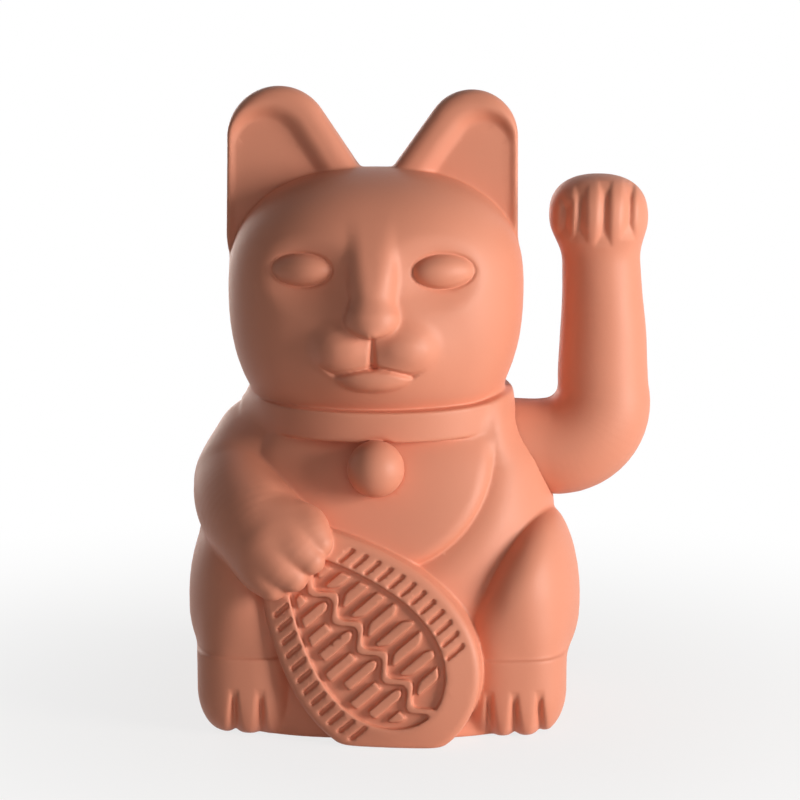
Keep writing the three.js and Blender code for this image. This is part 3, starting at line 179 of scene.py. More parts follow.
def grooved(form, cuts, depth, before):
    """A form with V cuts in its front: each runs between two (x, z) places and has a width at each."""

    def distance(x, y, z):
        sunk = form.distance(x, y, z)
        whole = sunk
        for start, end, widths in cuts:
            run = np.subtract(end, start).astype(np.float32)
            length = float(np.hypot(*run))
            ahead = run / length
            along = (x - start[0]) * ahead[0] + (z - start[1]) * ahead[1]
            aside = np.abs((x - start[0]) * ahead[1] - (z - start[1]) * ahead[0])
            share = np.clip(along / length, 0, 1)
            fade = np.clip(np.minimum(along, length - along) / (GROOVE_FADE * length), 0, 1)
            half = (widths[0] + (widths[1] - widths[0]) * share) / 2 * (1 + sunk / depth)
            inside = np.maximum(aside - half, -sunk - depth * fade)
            ends = np.maximum(np.maximum(-along, along - length), y - before)
            whole = soft_max(whole, -np.maximum(inside, ends), GROOVE_EDGE)
        return whole

    return Form(distance, form.low, form.high)


FAR = 40.0  # what a sample holds where no form has reached it
SLACK = 4  # samples round a form that are worked out with it
FLATNESS = 0.008  # stretches as flat as this are drawn with larger faces


class Block:
    """Distances on an even grid, to which forms are joined and from which they are carved."""

    def __init__(self, box, pitch):
        self.pitch = pitch
        self.low = np.asarray(box[0], float)
        count = np.ceil((np.asarray(box[1], float) - self.low) / pitch).astype(int) + 1
        self.axes = [(self.low[i] + pitch * np.arange(count[i])).astype(np.float32) for i in range(3)]
        self.values = np.full(count, FAR, np.float32)

    def like(self, values):
        """Another block on the same grid, with values of its own."""
        twin = copy.copy(self)
        twin.values = values
        return twin

    def window(self, form, margin):
        """The part of the grid round a form, and its coordinates."""
        spans = []
        for axis, low, high in zip(self.axes, form.low - margin, form.high + margin):
            start, stop = np.searchsorted(axis, (low, high))
            spans.append(slice(start, stop))
        x, y, z = (axis[span] for axis, span in zip(self.axes, spans))
        return tuple(spans), (x[:, None, None], y[None, :, None], z[None, None, :])

    def join(self, form, fillet=0.0):
        """Adds a form, with a fillet where it meets what is there."""
        part, place = self.window(form, fillet + SLACK * self.pitch)
        self.values[part] = soft_min(self.values[part], form.distance(*place), fillet)

    def carve(self, form, fillet=0.0):
        """Takes a form away, with a round on the edge it leaves."""
        part, place = self.window(form, fillet + SLACK * self.pitch)
        self.values[part] = soft_max(self.values[part], -form.distance(*place), fillet)

    def outline(self, form, depth):
        """Sinks a narrow V round a form, deepest at the form itself."""
        part, place = self.window(form, depth + SLACK * self.pitch)
        self.values[part] += np.clip(depth - form.distance(*place), 0, depth)

    def score(self, line, before):
        """Cuts a V along a line of (x, z, depth) points into whatever lies before a place in Y."""
        line = np.asarray(line, np.float32)
        low, high = line.min(0) - 2, line.max(0) + 2
        area = Form(None, (low[0], self.low[1], low[1]), (high[0], before, high[1]))
        part, (x, _, z) = self.window(area, 0)
        here = self.values[part].copy()
        for a, b in zip(line[:-1], line[1:]):
            run = b - a
            share = ((x - a[0]) * run[0] + (z - a[1]) * run[1]) / float(run[:2] @ run[:2])
            share = np.clip(share, 0, 1)
            gap = length_of(x - a[0] - share * run[0], z - a[1] - share * run[1])
            depth = a[2] + share * run[2]
            self.values[part] = np.maximum(self.values[part], here + depth - gap)

    def cut(self, axis, keep, at, edge):
        """Keeps what lies above (keep 1) or below (keep -1) a plane across an axis, with an edge round."""
        place = [None, None, None]
        place[axis] = slice(None)
        plane = keep * (at - self.axes[axis][tuple(place)])
        self.values = soft_max(self.values, plane, edge)

    def sample(self, places):
        """Values between the samples, at places counted in samples."""
        base = np.clip(places.astype(int), 0, np.array(self.values.shape) - 2)
        share = places - base
        total = 0.0
        for corner in np.ndindex(2, 2, 2):
            weight = np.prod(np.where(corner, share, 1 - share), axis=1)
            total = total + weight * self.values[tuple((base + corner).T)]
        return total

    def skin(self, name):
        """A closed mesh over the zero level, as a new object that is shaded by the distances' slope."""
        grid = openvdb.FloatGrid(FAR)
        grid.copyFromArray(np.clip(self.values, -FAR, FAR))
        points, triangles, quads = grid.convertToPolygons(0.0, FLATNESS)
        slope = [self.sample(points + step) - self.sample(points - step) for step in np.eye(3)]
        slope = np.stack(slope, 1)
        slope /= np.maximum(np.linalg.norm(slope, axis=1, keepdims=True), 1e-6)
        points = (points * self.pitch + self.low) * MM
        mesh = bpy.data.meshes.new(name)
        mesh.from_pydata(points.tolist(), [], [*triangles.tolist(), *quads.tolist()])
        mesh.update()
        mesh.polygons.foreach_set("use_smooth", np.ones(len(mesh.polygons), bool))
        mesh.normals_split_custom_set_from_vertices(slope.tolist())
        skin = bpy.data.objects.new(name, mesh)
        bpy.context.scene.collection.objects.link(skin)
        return skin


# The torso and head, in millimetres

TORSO_POWER = 2.8
TORSO_BACKSET = 2.0
# Height, half width and half depth, from below the table to inside the head
TORSO_SECTIONS = (
    (-8.0, 40.2, 38.2),
    (0.0, 40.5, 38.0),
    (28.0, 41.0, 36.5),
    (56.0, 40.8, 31.5),
    (64.0, 37.8, 29.2),
    (70.0, 33.0, 26.6),
    (76.0, 29.0, 24.2),
    (84.0, 24.0, 21.0),
    (92.0, 14.0, 13.0),
)
HEAD_CENTRE = np.array((-1.1, -2.6, 103.0))
HEAD_HALF = np.array((35.3, 29.5, 28.0))
JAW_HALF_HEIGHT = 39.0
HEAD_POWER = 2.4
FACE_SHIFT = 0.6  # middle of the face from the middle of the head


def column(inset=0.0):
    """The torso: squarish ovals from below the table to inside the head."""
    sections = np.array(TORSO_SECTIONS)
    foot, top = sections[0, 0], sections[-1, 0]

    def distance(x, y, z):
        wide = curve_through(sections[:, (0, 1)], z) - inset
        deep = curve_through(sections[:, (0, 2)], z) - inset
        side = oval_distance((x, y - TORSO_BACKSET), (wide, deep), TORSO_POWER)
        return soft_max(side, z - top, 1.0)

    wide = sections[:, 1].max() - inset
    deep = sections[:, 2].max() - inset
    return Form(distance, (-wide, TORSO_BACKSET - deep, foot), (wide, TORSO_BACKSET + deep, top))


def head_form(inset=0.0):
    """A squarish ball, drawn out below its middle to the jaw."""
    return ball(HEAD_CENTRE, HEAD_HALF - inset, HEAD_POWER, below=JAW_HALF_HEIGHT - inset)


def face_point(x, up, reach):
    """A point on the front of the face, from the middle of the head, pushed out by a reach."""
    lift = HEAD_HALF[2] if up >= 0 else JAW_HALF_HEIGHT
    across = abs(x / HEAD_HALF[0]) ** HEAD_POWER + abs(up / lift) ** HEAD_POWER
    depth = HEAD_HALF[1] * max(0.0, 1 - across) ** (1 / HEAD_POWER)
    return HEAD_CENTRE + (x + FACE_SHIFT, -depth - reach, up)


# The ears

# Distance out, height and radius of the rounds at the tip and root of each ear
EAR_TIP = {-1: (23.4, 137.9, 12.2), 1: (22.7, 138.3, 11.0)}
EAR_ROOT = {-1: (16.7, 115.5, 19.0), 1: (15.6, 116.0, 18.2)}
EAR_PLANE = 0.5
EAR_HEIGHT = 150.0
EAR_EDGE = 3.6
EAR_TIP_THICKNESS = 4.2  # half the thickness at the tip
EAR_THICKENING = 0.125  # growth of that half for each millimetre down
SCOOP_SHIFT = 3.0  # how far the scoop's outline lies outwards from the ear's
SCOOP_DROP = 0.9  # how far it lies down, as a share of that shift
SCOOP_RAMP = 5.0
SCOOP_RIM = 0.4
SCOOP_DEPTH = 3.2
SCOOP_SLANT = 0.05  # growth of its depth for each millimetre outwards
SCOOP_MIDDLE = 22.0
SCOOP_FILLET = 2.2


def ear_outline(side, x, z, shift=0.0):
    """The distance to an ear's outline as seen from the front, or to one shifted out and down."""
    (tip_x, tip_z, tip), (root_x, root_z, root) = EAR_TIP[side], EAR_ROOT[side]
    out = side * (x - HEAD_CENTRE[0]) - shift - tip_x
    up = z + SCOOP_DROP * shift - tip_z
    run = math.hypot(root_x - tip_x, root_z - tip_z)
    down = (out * (root_x - tip_x) + up * (root_z - tip_z)) / run
    aside = np.abs(out * (root_z - tip_z) - up * (root_x - tip_x)) / run
    sine = (root - tip) / run
    cosine = math.sqrt(1 - sine * sine)
    reach = down * cosine + aside * sine
    sides = aside * cosine - down * sine - tip
    ends = np.where(reach < 0, length_of(down, aside) - tip, length_of(down - run, aside) - root)
    return np.where((reach < 0) | (reach > run * cosine), ends, sides)


def ear_thickness(z):
    """Half the thickness of an ear, which thins towards its tip."""
    return EAR_TIP_THICKNESS + EAR_THICKENING * (EAR_HEIGHT - z)


def ear_box(side):
    """The low and high corner of what one ear takes up."""
    edge = (HEAD_CENTRE[0], HEAD_CENTRE[0] + side * 37)
    return (min(edge), -10, 102), (max(edge), 11, EAR_HEIGHT + 1)


def ear_form(side):
    """An upright leaf with a round edge, thick at its root."""

    def distance(x, y, z):
        outline = ear_outline(side, x, z) + EAR_EDGE
        sides = np.abs(y - EAR_PLANE) - ear_thickness(z) + EAR_EDGE
        out = length_of(np.maximum(outline, 0), np.maximum(sides, 0))
        return out + np.minimum(np.maximum(outline, sides), 0) - EAR_EDGE

    return Form(distance, *ear_box(side))


def ear_scoop(side):
    """The hollow in the front of an ear: steep by its inner rim, running out at its outer edge."""

    def distance(x, y, z):
        out = side * (x - HEAD_CENTRE[0])
        share = np.clip((-ear_outline(side, x, z, SCOOP_SHIFT) - SCOOP_RIM) / SCOOP_RAMP, 0, 1)
        rise = share * share * (3 - 2 * share)
        depth = (SCOOP_DEPTH + SCOOP_SLANT * (out - SCOOP_MIDDLE)) * rise
        return y - (EAR_PLANE - ear_thickness(z) + depth - SCOOP_RIM)

    return Form(distance, *ear_box(side))


def build_ears(block):
    """Both ears, each with its scoop."""
    for side in (-1, 1):
        block.join(ear_form(side), 1.0)
        block.carve(ear_scoop(side), SCOOP_FILLET)


# The face

NOSE_TOP = 119.0
NOSE_FOOT = 94.4
NOSE_ASIDE = -0.4
NOSE_HALF_WIDTH = 5.4
NOSE_RISE = 0.25  # how far it comes forward for each millimetre down
NOSE_DRAFT = 0.55  # how far its sides spread for each millimetre back
NOSE_FOOT_DRAFT = 0.4  # how far its foot rises for each millimetre aside
NOSE_DEPTH = 16.0

# Place on the face (across, up, out), half sizes and power
NOSE_TIP = ((NOSE_ASIDE, -4.8, 0.8), (6.0, 4.5, 3.6), 2.2)
MUZZLE = ((0.0, -12.5, -8.0), (16.0, 9.6, 12.0), 2.0)
LOWER_LIP = ((0.0, -18.3, 0.3), (8.6, 4.4, 3.6), 2.0)
WHISKER_PADS = [((side * 6.5, -11.6, -1.3), (7.2, 5.8, 5.6), 2.1) for side in (-1, 1)]
SOCKET_HALF = (13.0, 6.6, 8.6)
SOCKETS = {-1: ((-14.8, 5.9, 4.4), SOCKET_HALF), 1: ((13.9, 5.9, 4.4), SOCKET_HALF)}
EYES = {
    -1: ((-16.8, 6.1, -4.0), (7.8, 4.6, 3.95)),
    1: ((15.9, 5.8, -4.0), (7.6, 4.6, 4.15)),
}
SOCKET_PITCH = math.radians(4)
SOCKET_YAW = math.radians(22)
EYE_PITCH = math.radians(6)
EYE_YAW = math.radians(23)
EYE_RIM = 0.7

# The line of the mouth and the line from the nose down to it: x from the middle of the face, z and depth
MOUTH_LINE = (
    (-12.4, 87.2, 0.2),
    (-8.8, 85.2, 0.8),
    (-4.2, 86.3, 0.8),
    (-0.2, 87.2, 0.9),
    (4.0, 86.5, 0.8),
    (8.8, 85.0, 0.9),
    (11.8, 86.2, 0.2),
)
LIP_LINE = ((-0.2, 95.2, 0.3), (-0.2, 91.0, 1.1), (-0.2, 87.4, 1.2))
MOUTH_FRONT = -20.0  # the lines are cut in front of this place


def nose_form():
    """A bridge with a flat front and sloping sides, which rises out of the brow as it comes down."""
    middle = HEAD_CENTRE[0] + FACE_SHIFT + NOSE_ASIDE

    def distance(x, y, z):
        up = z - HEAD_CENTRE[2]
        share = np.abs(up) / np.where(up < 0, JAW_HALF_HEIGHT, HEAD_HALF[2])
        depth = HEAD_HALF[1] * np.clip(1 - share**HEAD_POWER, 0, 1) ** (1 / HEAD_POWER)
        proud = NOSE_RISE * (NOSE_TOP - z)
        behind = y - HEAD_CENTRE[1] + depth + proud
        aside = np.abs(x - middle)
        # The factors bring the slanted planes back to true distances
        front = -0.95 * behind
        walls = 0.87 * (aside - NOSE_HALF_WIDTH - NOSE_DRAFT * (behind - proud))
        foot = 0.93 * (NOSE_FOOT + NOSE_FOOT_DRAFT * aside - z)
        return soft_max(soft_max(front, walls, 2.8), soft_max(foot, behind - NOSE_DEPTH, 0.5), 1.6)

    return Form(distance, (middle - 9, -42, NOSE_FOOT - 1), (middle + 9, -18, NOSE_TOP + 4))


def on_face(place, half, power=2.0, turn=None):
    """A ball at a place on the front of the face."""
    return ball(face_point(*place), half, power, turn)


def build_face(block):
    """Eye sockets and eyes, nose, whisker pads and mouth."""
    for side, socket in SOCKETS.items():
        block.carve(on_face(*socket, turn=Euler((SOCKET_PITCH, 0, side * SOCKET_YAW))), 4.0)
    block.join(on_face(*MUZZLE), 6.0)
    block.join(on_face(*LOWER_LIP), 0.8)
    block.join(together([on_face(*pad) for pad in WHISKER_PADS], 0.8), 3.0)
    block.join(together((nose_form(), on_face(*NOSE_TIP)), 3.0), 0.9)
    middle = HEAD_CENTRE[0] + FACE_SHIFT
    for line in (MOUTH_LINE, LIP_LINE):
        block.score([(x + middle, z, depth) for x, z, depth in line], MOUTH_FRONT)
    for side, place in EYES.items():
        eye = on_face(*place, turn=Euler((EYE_PITCH, 0, side * EYE_YAW)))
        block.outline(eye, EYE_RIM)
        block.join(eye, 0.4)


# The collar, the bell and the shoulder over the collar's end

COLLAR_CENTRE = np.array((0.0, -1.4, 74.5), np.float32)
COLLAR_HALF = (31.6, 28.6)
COLLAR_POWER = 2.2
COLLAR_TILT = math.radians(4)
BELL_CENTRE = (0.0, -32.0, 63.4)
BELL_RIM = 0.8
SHOULDER = ((27.4, -7.0, 68.4), (4.6, 12.4, 9.6))


def collar_form(band):
    """A flat band round the neck that dips towards the front."""

    def distance(x, y, z):
        back, rise = y - COLLAR_CENTRE[1], z - COLLAR_CENTRE[2]
        ahead = back * math.cos(COLLAR_TILT) + rise * math.sin(COLLAR_TILT)
        up = rise * math.cos(COLLAR_TILT) - back * math.sin(COLLAR_TILT)
        side = oval_distance((x, ahead), COLLAR_HALF, COLLAR_POWER)
        return soft_max(side, np.abs(up) - band / 2, 0.7)

    reach = (COLLAR_HALF[0] + 0.4, COLLAR_HALF[1] + 0.4, band / 2 + 3.4)
    return Form(distance, COLLAR_CENTRE - reach, COLLAR_CENTRE + reach)


def build_collar(block, settings):
    """The collar, the shoulder that covers its end, and the bell under its middle."""
    block.join(collar_form(settings.collar_band / MM), 0.3)
    block.join(ball(*SHOULDER), 4.5)
    bell = ball(BELL_CENTRE, np.full(3, settings.bell_radius / MM))
    block.outline(bell, BELL_RIM)
    block.join(bell, 0.6)


# The bib of the belly

BELLY_HEIGHT = 66.0
BELLY_RADIUS = 27.4
BELLY_BULGE = 0.6
BELLY_EDGE = 4.0
BELLY_BACK = -6.0
BELLY_BOX = ((-30, -42, 36), (30, -6, 84))
CREASE_DEPTH = 1.5
CREASE_WIDTH = 6.5
CREASE_BACK = -8.0
CREASE_TOP = 70.0
CREASE_FADE = 8.0  # stretch over which the crease runs out, backwards and upwards
CREASE_BOX = ((-34, -42, 32), (34, -8, 70))


def belly_form():
    """The bib: the torso again, a little fuller, inside a circle."""
    fuller = column(-BELLY_BULGE)

    def distance(x, y, z):
        edge = length_of(x, z - BELLY_HEIGHT) - BELLY_RADIUS
        return soft_max(soft_max(fuller.distance(x, y, z), edge, BELLY_EDGE), y - BELLY_BACK, 1.0)

    return Form(distance, *BELLY_BOX)


def belly_crease(wall=0.0):
    """What lies outside a torso that dips along the edge of the bib, or outside one thinner by a wall."""
    torso = column(wall)

    def distance(x, y, z):
        edge = np.abs(length_of(x, z - BELLY_HEIGHT) - BELLY_RADIUS)
        dip = np.clip(1 - edge / CREASE_WIDTH, 0, 1) ** 2
        fade = np.clip((CREASE_BACK - y) / CREASE_FADE, 0, 1)
        fade = fade * np.clip((CREASE_TOP - z) / CREASE_FADE, 0, 1)
        return -torso.distance(x, y, z) - CREASE_DEPTH * dip * fade

    return Form(distance, *CREASE_BOX)


# The coin

COIN_CENTRE = np.array((-3.4, -41.4, 25.5))
COIN_TURN = np.array(Euler((math.radians(-7), math.radians(-41), 0)).to_matrix(), np.float32)
COIN_TAPER = 0.3  # share by which its upper end is narrower than its middle
COIN_POWER = 1.9
COIN_THICKNESS = 11.0
COIN_BORDER = 6.5
COIN_SLOPE = 0.24  # fall of the border towards the edge
COIN_REACH = 34.0
TICK_PITCH = 3.0
TICK_HALF_WIDTH = 0.5
TICK_MIDDLE = 4.6  # middle of the row of ticks, in from the edge
TICK_HALF_LENGTH = 2.3
TICK_DEPTH = 1.0
TICK_ROW = 18.0  # how far the row runs either way along the coin
FIELD_INSET = 7.6
FIELD_DEPTH = 1.4
RIDGE_HALF_WIDTH = 0.95
RIDGE_SWING = 1.6
ROW_PITCH = 4.4  # of the ridge's bends and the bars
BAR_MIDDLE = 6.9  # from the ridge
BAR_HALF_LENGTH = 3.4
BAR_RADIUS = 1.2
BAR_INSET = 9.2
BAR_ROWS = (5.0, 4.5)  # rows either way along the coin, on the near and far side of the ridge


def coin_place(x, y, z):
    """Places across the coin, out of its face and along its length."""
    away = (x - COIN_CENTRE[0], y - COIN_CENTRE[1], z - COIN_CENTRE[2])
    across, back, along = (sum(COIN_TURN[j, i] * away[j] for j in range(3)) for i in range(3))
    return across.astype(np.float32), -back.astype(np.float32), along.astype(np.float32)


def coin_rim(across, along, half):
    """The distance to the coin's edge, an oval that narrows towards its upper end."""
    half_width = half[0] * (1 - COIN_TAPER * along / half[1])
    return oval_distance((across, along), (np.maximum(half_width, 4.0), half[1]), COIN_POWER)


def coin_form(half):
    """The coin's blank: a border that slopes to the edge round a flat face."""

    def distance(x, y, z):
        across, out, along = coin_place(x, y, z)
        rim = coin_rim(across, along, half)
        slope = out + np.clip(rim + COIN_BORDER, 0, None) * COIN_SLOPE
        return soft_max(soft_max(rim, slope, 1.8), -out - COIN_THICKNESS, 0.5)

    low = COIN_CENTRE - (COIN_REACH, 12, COIN_REACH)
    return Form(distance, low, COIN_CENTRE + (COIN_REACH, 14, COIN_REACH))


def coin_marks(half):
    """Ticks along both long sides of the border, and a sunk field that leaves a winding ridge
    and struck bars standing."""

    def distance(x, y, z):
        across, out, along = coin_place(x, y, z)
        rim = coin_rim(across, along, half)
        face = -np.clip(rim + COIN_BORDER, 0, None) * COIN_SLOPE
        tick = np.abs((along / TICK_PITCH) % 1.0 - 0.5) * TICK_PITCH - TICK_HALF_WIDTH
        ticks = soft_max(tick, np.abs(rim + TICK_MIDDLE) - TICK_HALF_LENGTH, 0.5)
        ticks = soft_max(ticks, np.abs(along) - TICK_ROW, 0.4)
        ticks = soft_max(ticks, np.abs(out - face) - TICK_DEPTH, 0.5)
        field = soft_max(rim + FIELD_INSET, np.abs(out) - FIELD_DEPTH, 0.5)
        winding = across - RIDGE_SWING * np.sin(along * (math.pi / ROW_PITCH))
        ridge = np.abs(winding) - RIDGE_HALF_WIDTH
        far_side = across > 0
        strike = np.abs((along / ROW_PITCH + np.where(far_side, 0.5, 0.0)) % 1.0 - 0.5) * ROW_PITCH
        reach = np.clip(np.abs(np.abs(winding) - BAR_MIDDLE) - BAR_HALF_LENGTH, 0, None)
        bars = soft_max(length_of(strike, reach) - BAR_RADIUS, rim + BAR_INSET, 0.6)
        rows = np.where(far_side, BAR_ROWS[1], BAR_ROWS[0])
        bars = soft_max(bars, np.abs(along) - rows * ROW_PITCH, 0.4)
        sunk = soft_max(field, -soft_min(ridge, bars, 0.4), 0.5)
        return soft_min(ticks, sunk, 0.3)

    reach = (COIN_REACH, 8, COIN_REACH)
    return Form(distance, COIN_CENTRE - reach, COIN_CENTRE + reach)


def build_coin(block, settings):
    """The coin that leans on the belly, with its marks."""
    half = (settings.coin_half_width / MM, settings.coin_half_length / MM)
    block.join(coin_form(half), 0.5)
    block.carve(coin_marks(half), 0.3)


# The legs and the tail

HAUNCH_SPREAD = 31.3
HAUNCH_SHIFT = 1.2
HAUNCH_PLACE = (-11.0, 28.8)
HAUNCH_HALF = (15.6, 25.2, 26.4)
HAUNCH_BELOW = 18.5
HAUNCH_POWER = 2.15
HAUNCH_LEAN = Euler((math.radians(8), 0, 0))
FOLD = (30.4, 45.0)  # a place out and up on the flank's fold, which rises outwards
FOLD_NORMAL = (-0.804, 0.594)
FOLD_ROUND = 9.0
FOOT_SPREAD = 29.8
FOOT_SHIFT = 1.0
FOOT_HALF = (13.5, 19.5)
FOOT_POWER = 2.8
FOOT_MIDDLE = -17.5
FOOT_HEIGHT = 19.2
FOOT_ROUND = (6.0, 10.0)  # how far the sole draws in, and from which height
FOOT_SPLAY = math.radians(7)
SHIN_INSET = 0.8
SHIN_FOOT = 15.0
SHIN_TOP = 36.0
SHIN_ROUND = 14.0
TOE_LINES = {-1: (-33.2, -27.0, -20.4), 1: (26.8, 32.6, 38.4)}
TOE_SPAN = (11.5, -3.0)
TOE_LEAN = 0.3
TOE_WIDTHS = (1.2, 5.0)
TOE_BACK = -22.0
# x, y, z and radius
TAIL = ((0, 37.5, 6.5, 6.0), (0, 36.5, 16, 5.6), (0, 34.2, 25, 4.6))


def foot_form(side):
    """A sock with a flat top and upright sides, its toes turned a little out."""
    middle = (side * FOOT_SPREAD + FOOT_SHIFT, FOOT_MIDDLE)

    def distance(x, y, z):
        dx, dy = x - middle[0], y - middle[1]
        across = dx * math.cos(FOOT_SPLAY) + side * dy * math.sin(FOOT_SPLAY)
        along = dy * math.cos(FOOT_SPLAY) - side * dx * math.sin(FOOT_SPLAY)
        wall = oval_distance((across, along), FOOT_HALF, FOOT_POWER)
        under = np.clip((FOOT_ROUND[1] - z) / FOOT_ROUND[1], 0, 1)
        sole = wall + FOOT_ROUND[0] * (1 - np.sqrt(1 - 0.97 * under * under))
        sock = soft_max(soft_max(sole, z - FOOT_HEIGHT, 0.8), -z - 1.0, 0.5)
        shin = soft_max(soft_max(wall + SHIN_INSET, z - SHIN_TOP, SHIN_ROUND), SHIN_FOOT - z, 1.0)
        return soft_min(sock, shin, 0.3)

    low = (middle[0] - 16, middle[1] - 22, -4)
    return Form(distance, low, (middle[0] + 16, middle[1] + 22, SHIN_TOP))


def haunch_form(side):
    """A haunch below the fold of the flank, which crosses it from the hip down to the coin."""
    centre = (side * HAUNCH_SPREAD + HAUNCH_SHIFT, *HAUNCH_PLACE)
    haunch = ball(centre, HAUNCH_HALF, HAUNCH_POWER, HAUNCH_LEAN, HAUNCH_BELOW)

    def distance(x, y, z):
        out = side * (x - FOOT_SHIFT) - FOLD[0]
        fold = FOLD_NORMAL[1] * (z - FOLD[1]) + FOLD_NORMAL[0] * out
        return soft_max(haunch.distance(x, y, z), fold, FOLD_ROUND)

    return Form(distance, haunch.low, haunch.high)


def build_legs(block, settings):
    """Haunches, feet with their toes, and the stub of a tail."""
    top, foot = TOE_SPAN
    for side in (-1, 1):
        block.join(haunch_form(side), 0.8)
        toes = [((x - TOE_LEAN * side, top), (x, foot), TOE_WIDTHS) for x in TOE_LINES[side]]
        block.join(grooved(foot_form(side), toes, settings.toe_depth / MM, TOE_BACK), 1.6)
    block.join(limb(TAIL, 6), 2.4)


# The resting arm

# From the shoulder to the wrist: x, y, z and radius
REST_ARM = (
    (-28.0, -1.0, 63.0, 12.6),
    (-32.0, -11.0, 56.8, 12.2),
    (-30.6, -22.0, 52.2, 11.9),
    (-27.0, -30.0, 48.6, 11.2),
    (-23.8, -35.5, 45.6, 9.8),
)
REST_HAND = ((-21.4, -35.2, 45.2), (9.0, 8.4, 11.6), 2.4)
REST_HAND_TURN = Euler((0, math.radians(42), math.radians(-40)), "ZYX")
# Each finger from its knuckle to its tip: x, y, z and radius
REST_FINGERS = (
    ((-27.4, -36.0, 41.8, 3.2), (-25.4, -40.4, 39.2, 3.0), (-23.4, -41.4, 36.9, 2.5)),
    ((-23.8, -38.4, 44.6, 3.8), (-21.2, -42.2, 42.2, 3.6), (-18.3, -42.8, 39.8, 3.1)),
    ((-19.2, -38.4, 48.2, 3.8), (-17.0, -42.2, 46.2, 3.6), (-14.3, -42.8, 44.0, 3.2)),
    ((-15.4, -35.6, 51.0, 3.6), (-13.8, -39.6, 49.4, 3.4), (-12.4, -40.6, 47.6, 3.0)),
)


def build_resting_arm(block):
    """The arm across the belly, and the paw whose fingers hold the coin."""
    block.join(limb(REST_ARM[:2], 2), 6.0)
    hand = ball(*REST_HAND, REST_HAND_TURN)
    fingers = together([limb(knots, 8) for knots in REST_FINGERS], 1.0)
    arm = together((limb(REST_ARM, 24), hand), 3.0)
    block.join(together((arm, fingers), 3.2), 0.8)


# The body as a whole

FIGURE_BOX = ((-50, -52, -3), (52, 47, 153))
WALL = 2.2
HEAD_WALL = 5.0
AXLE_HEIGHT = 63.6
AXLE_HOLE_RADIUS = 2.5
AXLE_HOLE = (20.0, 20.0)  # where it starts across the body, and its length
POCKET_FLOOR = 31.0
POCKET_RADIUS = 12.0
POCKET_LENGTH = 40.0
FIGURE_HALVES = (("front_skin", "front_shell"), ("rear_skin", "rear_shell"))


def build_figure(settings):
    """The whole outer form of the body as one block of distances, hollowed, with the arm's pocket."""
    block = Block(FIGURE_BOX, pitch_now(settings))
    block.join(column())
    block.carve(belly_crease())
    block.join(belly_form(), 0.3)
    build_legs(block, settings)
    build_ears(block)
    block.join(head_form(), 0.8)
    build_face(block)
    build_collar(block, settings)
    build_coin(block, settings)
    build_resting_arm(block)
    block.cut(2, 1, 0.0, 0.8)
    hollow = block.like(np.full_like(block.values, FAR))
    hollow.join(column(WALL))
    hollow.carve(belly_crease(WALL))
    hollow.join(head_form(HEAD_WALL), 2.0)
    behind_pocket = (POCKET_FLOOR - WALL, 0, AXLE_HEIGHT)
    hollow.carve(drum(behind_pocket, POCKET_LENGTH, POCKET_RADIUS + WALL, 0.4))
    block.carve(drum((POCKET_FLOOR, 0, AXLE_HEIGHT), POCKET_LENGTH, POCKET_RADIUS, 0.2), 0.3)
    block.values = np.maximum(block.values, -hollow.values)
    block.carve(drum((AXLE_HOLE[0], 0, AXLE_HEIGHT), AXLE_HOLE[1], AXLE_HOLE_RADIUS, 0.2))
    return block


# The waving arm

ARM_BOX = ((27, -18, 48), (69, 16, 132))
ARM_WALL = 1.8
ARM_ROOT = 31.25  # a little nearer the pocket's floor than the solid, so that no slit shows
ARM_ROOT_RADIUS = 11.5
ARM_STRAIGHT = (10.0, 30.0)  # the straight stretch through the shoulder, across the body
ELBOW_CORNER = np.array((39.3, 0.0, 78.4))
ELBOW_CREASE = 3.3
ELBOW_SWELL = 1.0
ELBOW_TURNS = 9
# Above the elbow: place across, height and radius
FOREARM = (
    (53.4, 82.0, 10.8),
    (53.4, 91.0, 10.35),
    (53.1, 100.0, 9.65),
    (52.75, 108.0, 9.35),
    (52.5, 116.0, 9.2),
)
PAW = ((51.8, -1.4, 120.5), (11.6, 10.6, 9.0), 2.3)
# Place across, top and foot of the grooves between the fingers
PAW_GROOVES = ((44.2, 124.0, 115.0), (47.5, 127.0, 114.2), (53.2, 128.0, 113.4), (59.0, 127.8, 115.0))
PAW_GROOVE_LEAN = 0.4
PAW_GROOVE_WIDTHS = (2.6, 3.4)
PAW_BACK = -3.0
ARM_HALVES = (("arm_front_skin", "arm_front_half"), ("arm_rear_skin", "arm_rear_half"))


def arm_knots():
    """The arm's line from the shoulder round the elbow to the wrist: x, y, z and radius."""
    knots = [(x, 0, AXLE_HEIGHT, ARM_ROOT_RADIUS) for x in ARM_STRAIGHT]
    quarter = math.pi / 2
    for i in range(ELBOW_TURNS):
        angle = quarter * (i + 0.5) / ELBOW_TURNS
        radius = ARM_ROOT_RADIUS + (FOREARM[0][2] - ARM_ROOT_RADIUS) * angle / quarter
        radius += ELBOW_SWELL * math.sin(2 * angle)
        spoke = np.array((math.sin(angle), 0, -math.cos(angle)))
        x, _, z = ELBOW_CORNER + spoke * (radius + ELBOW_CREASE)
        knots.append((x, 0, z, radius))
    return knots + [(x, 0, z, radius) for x, z, radius in FOREARM]


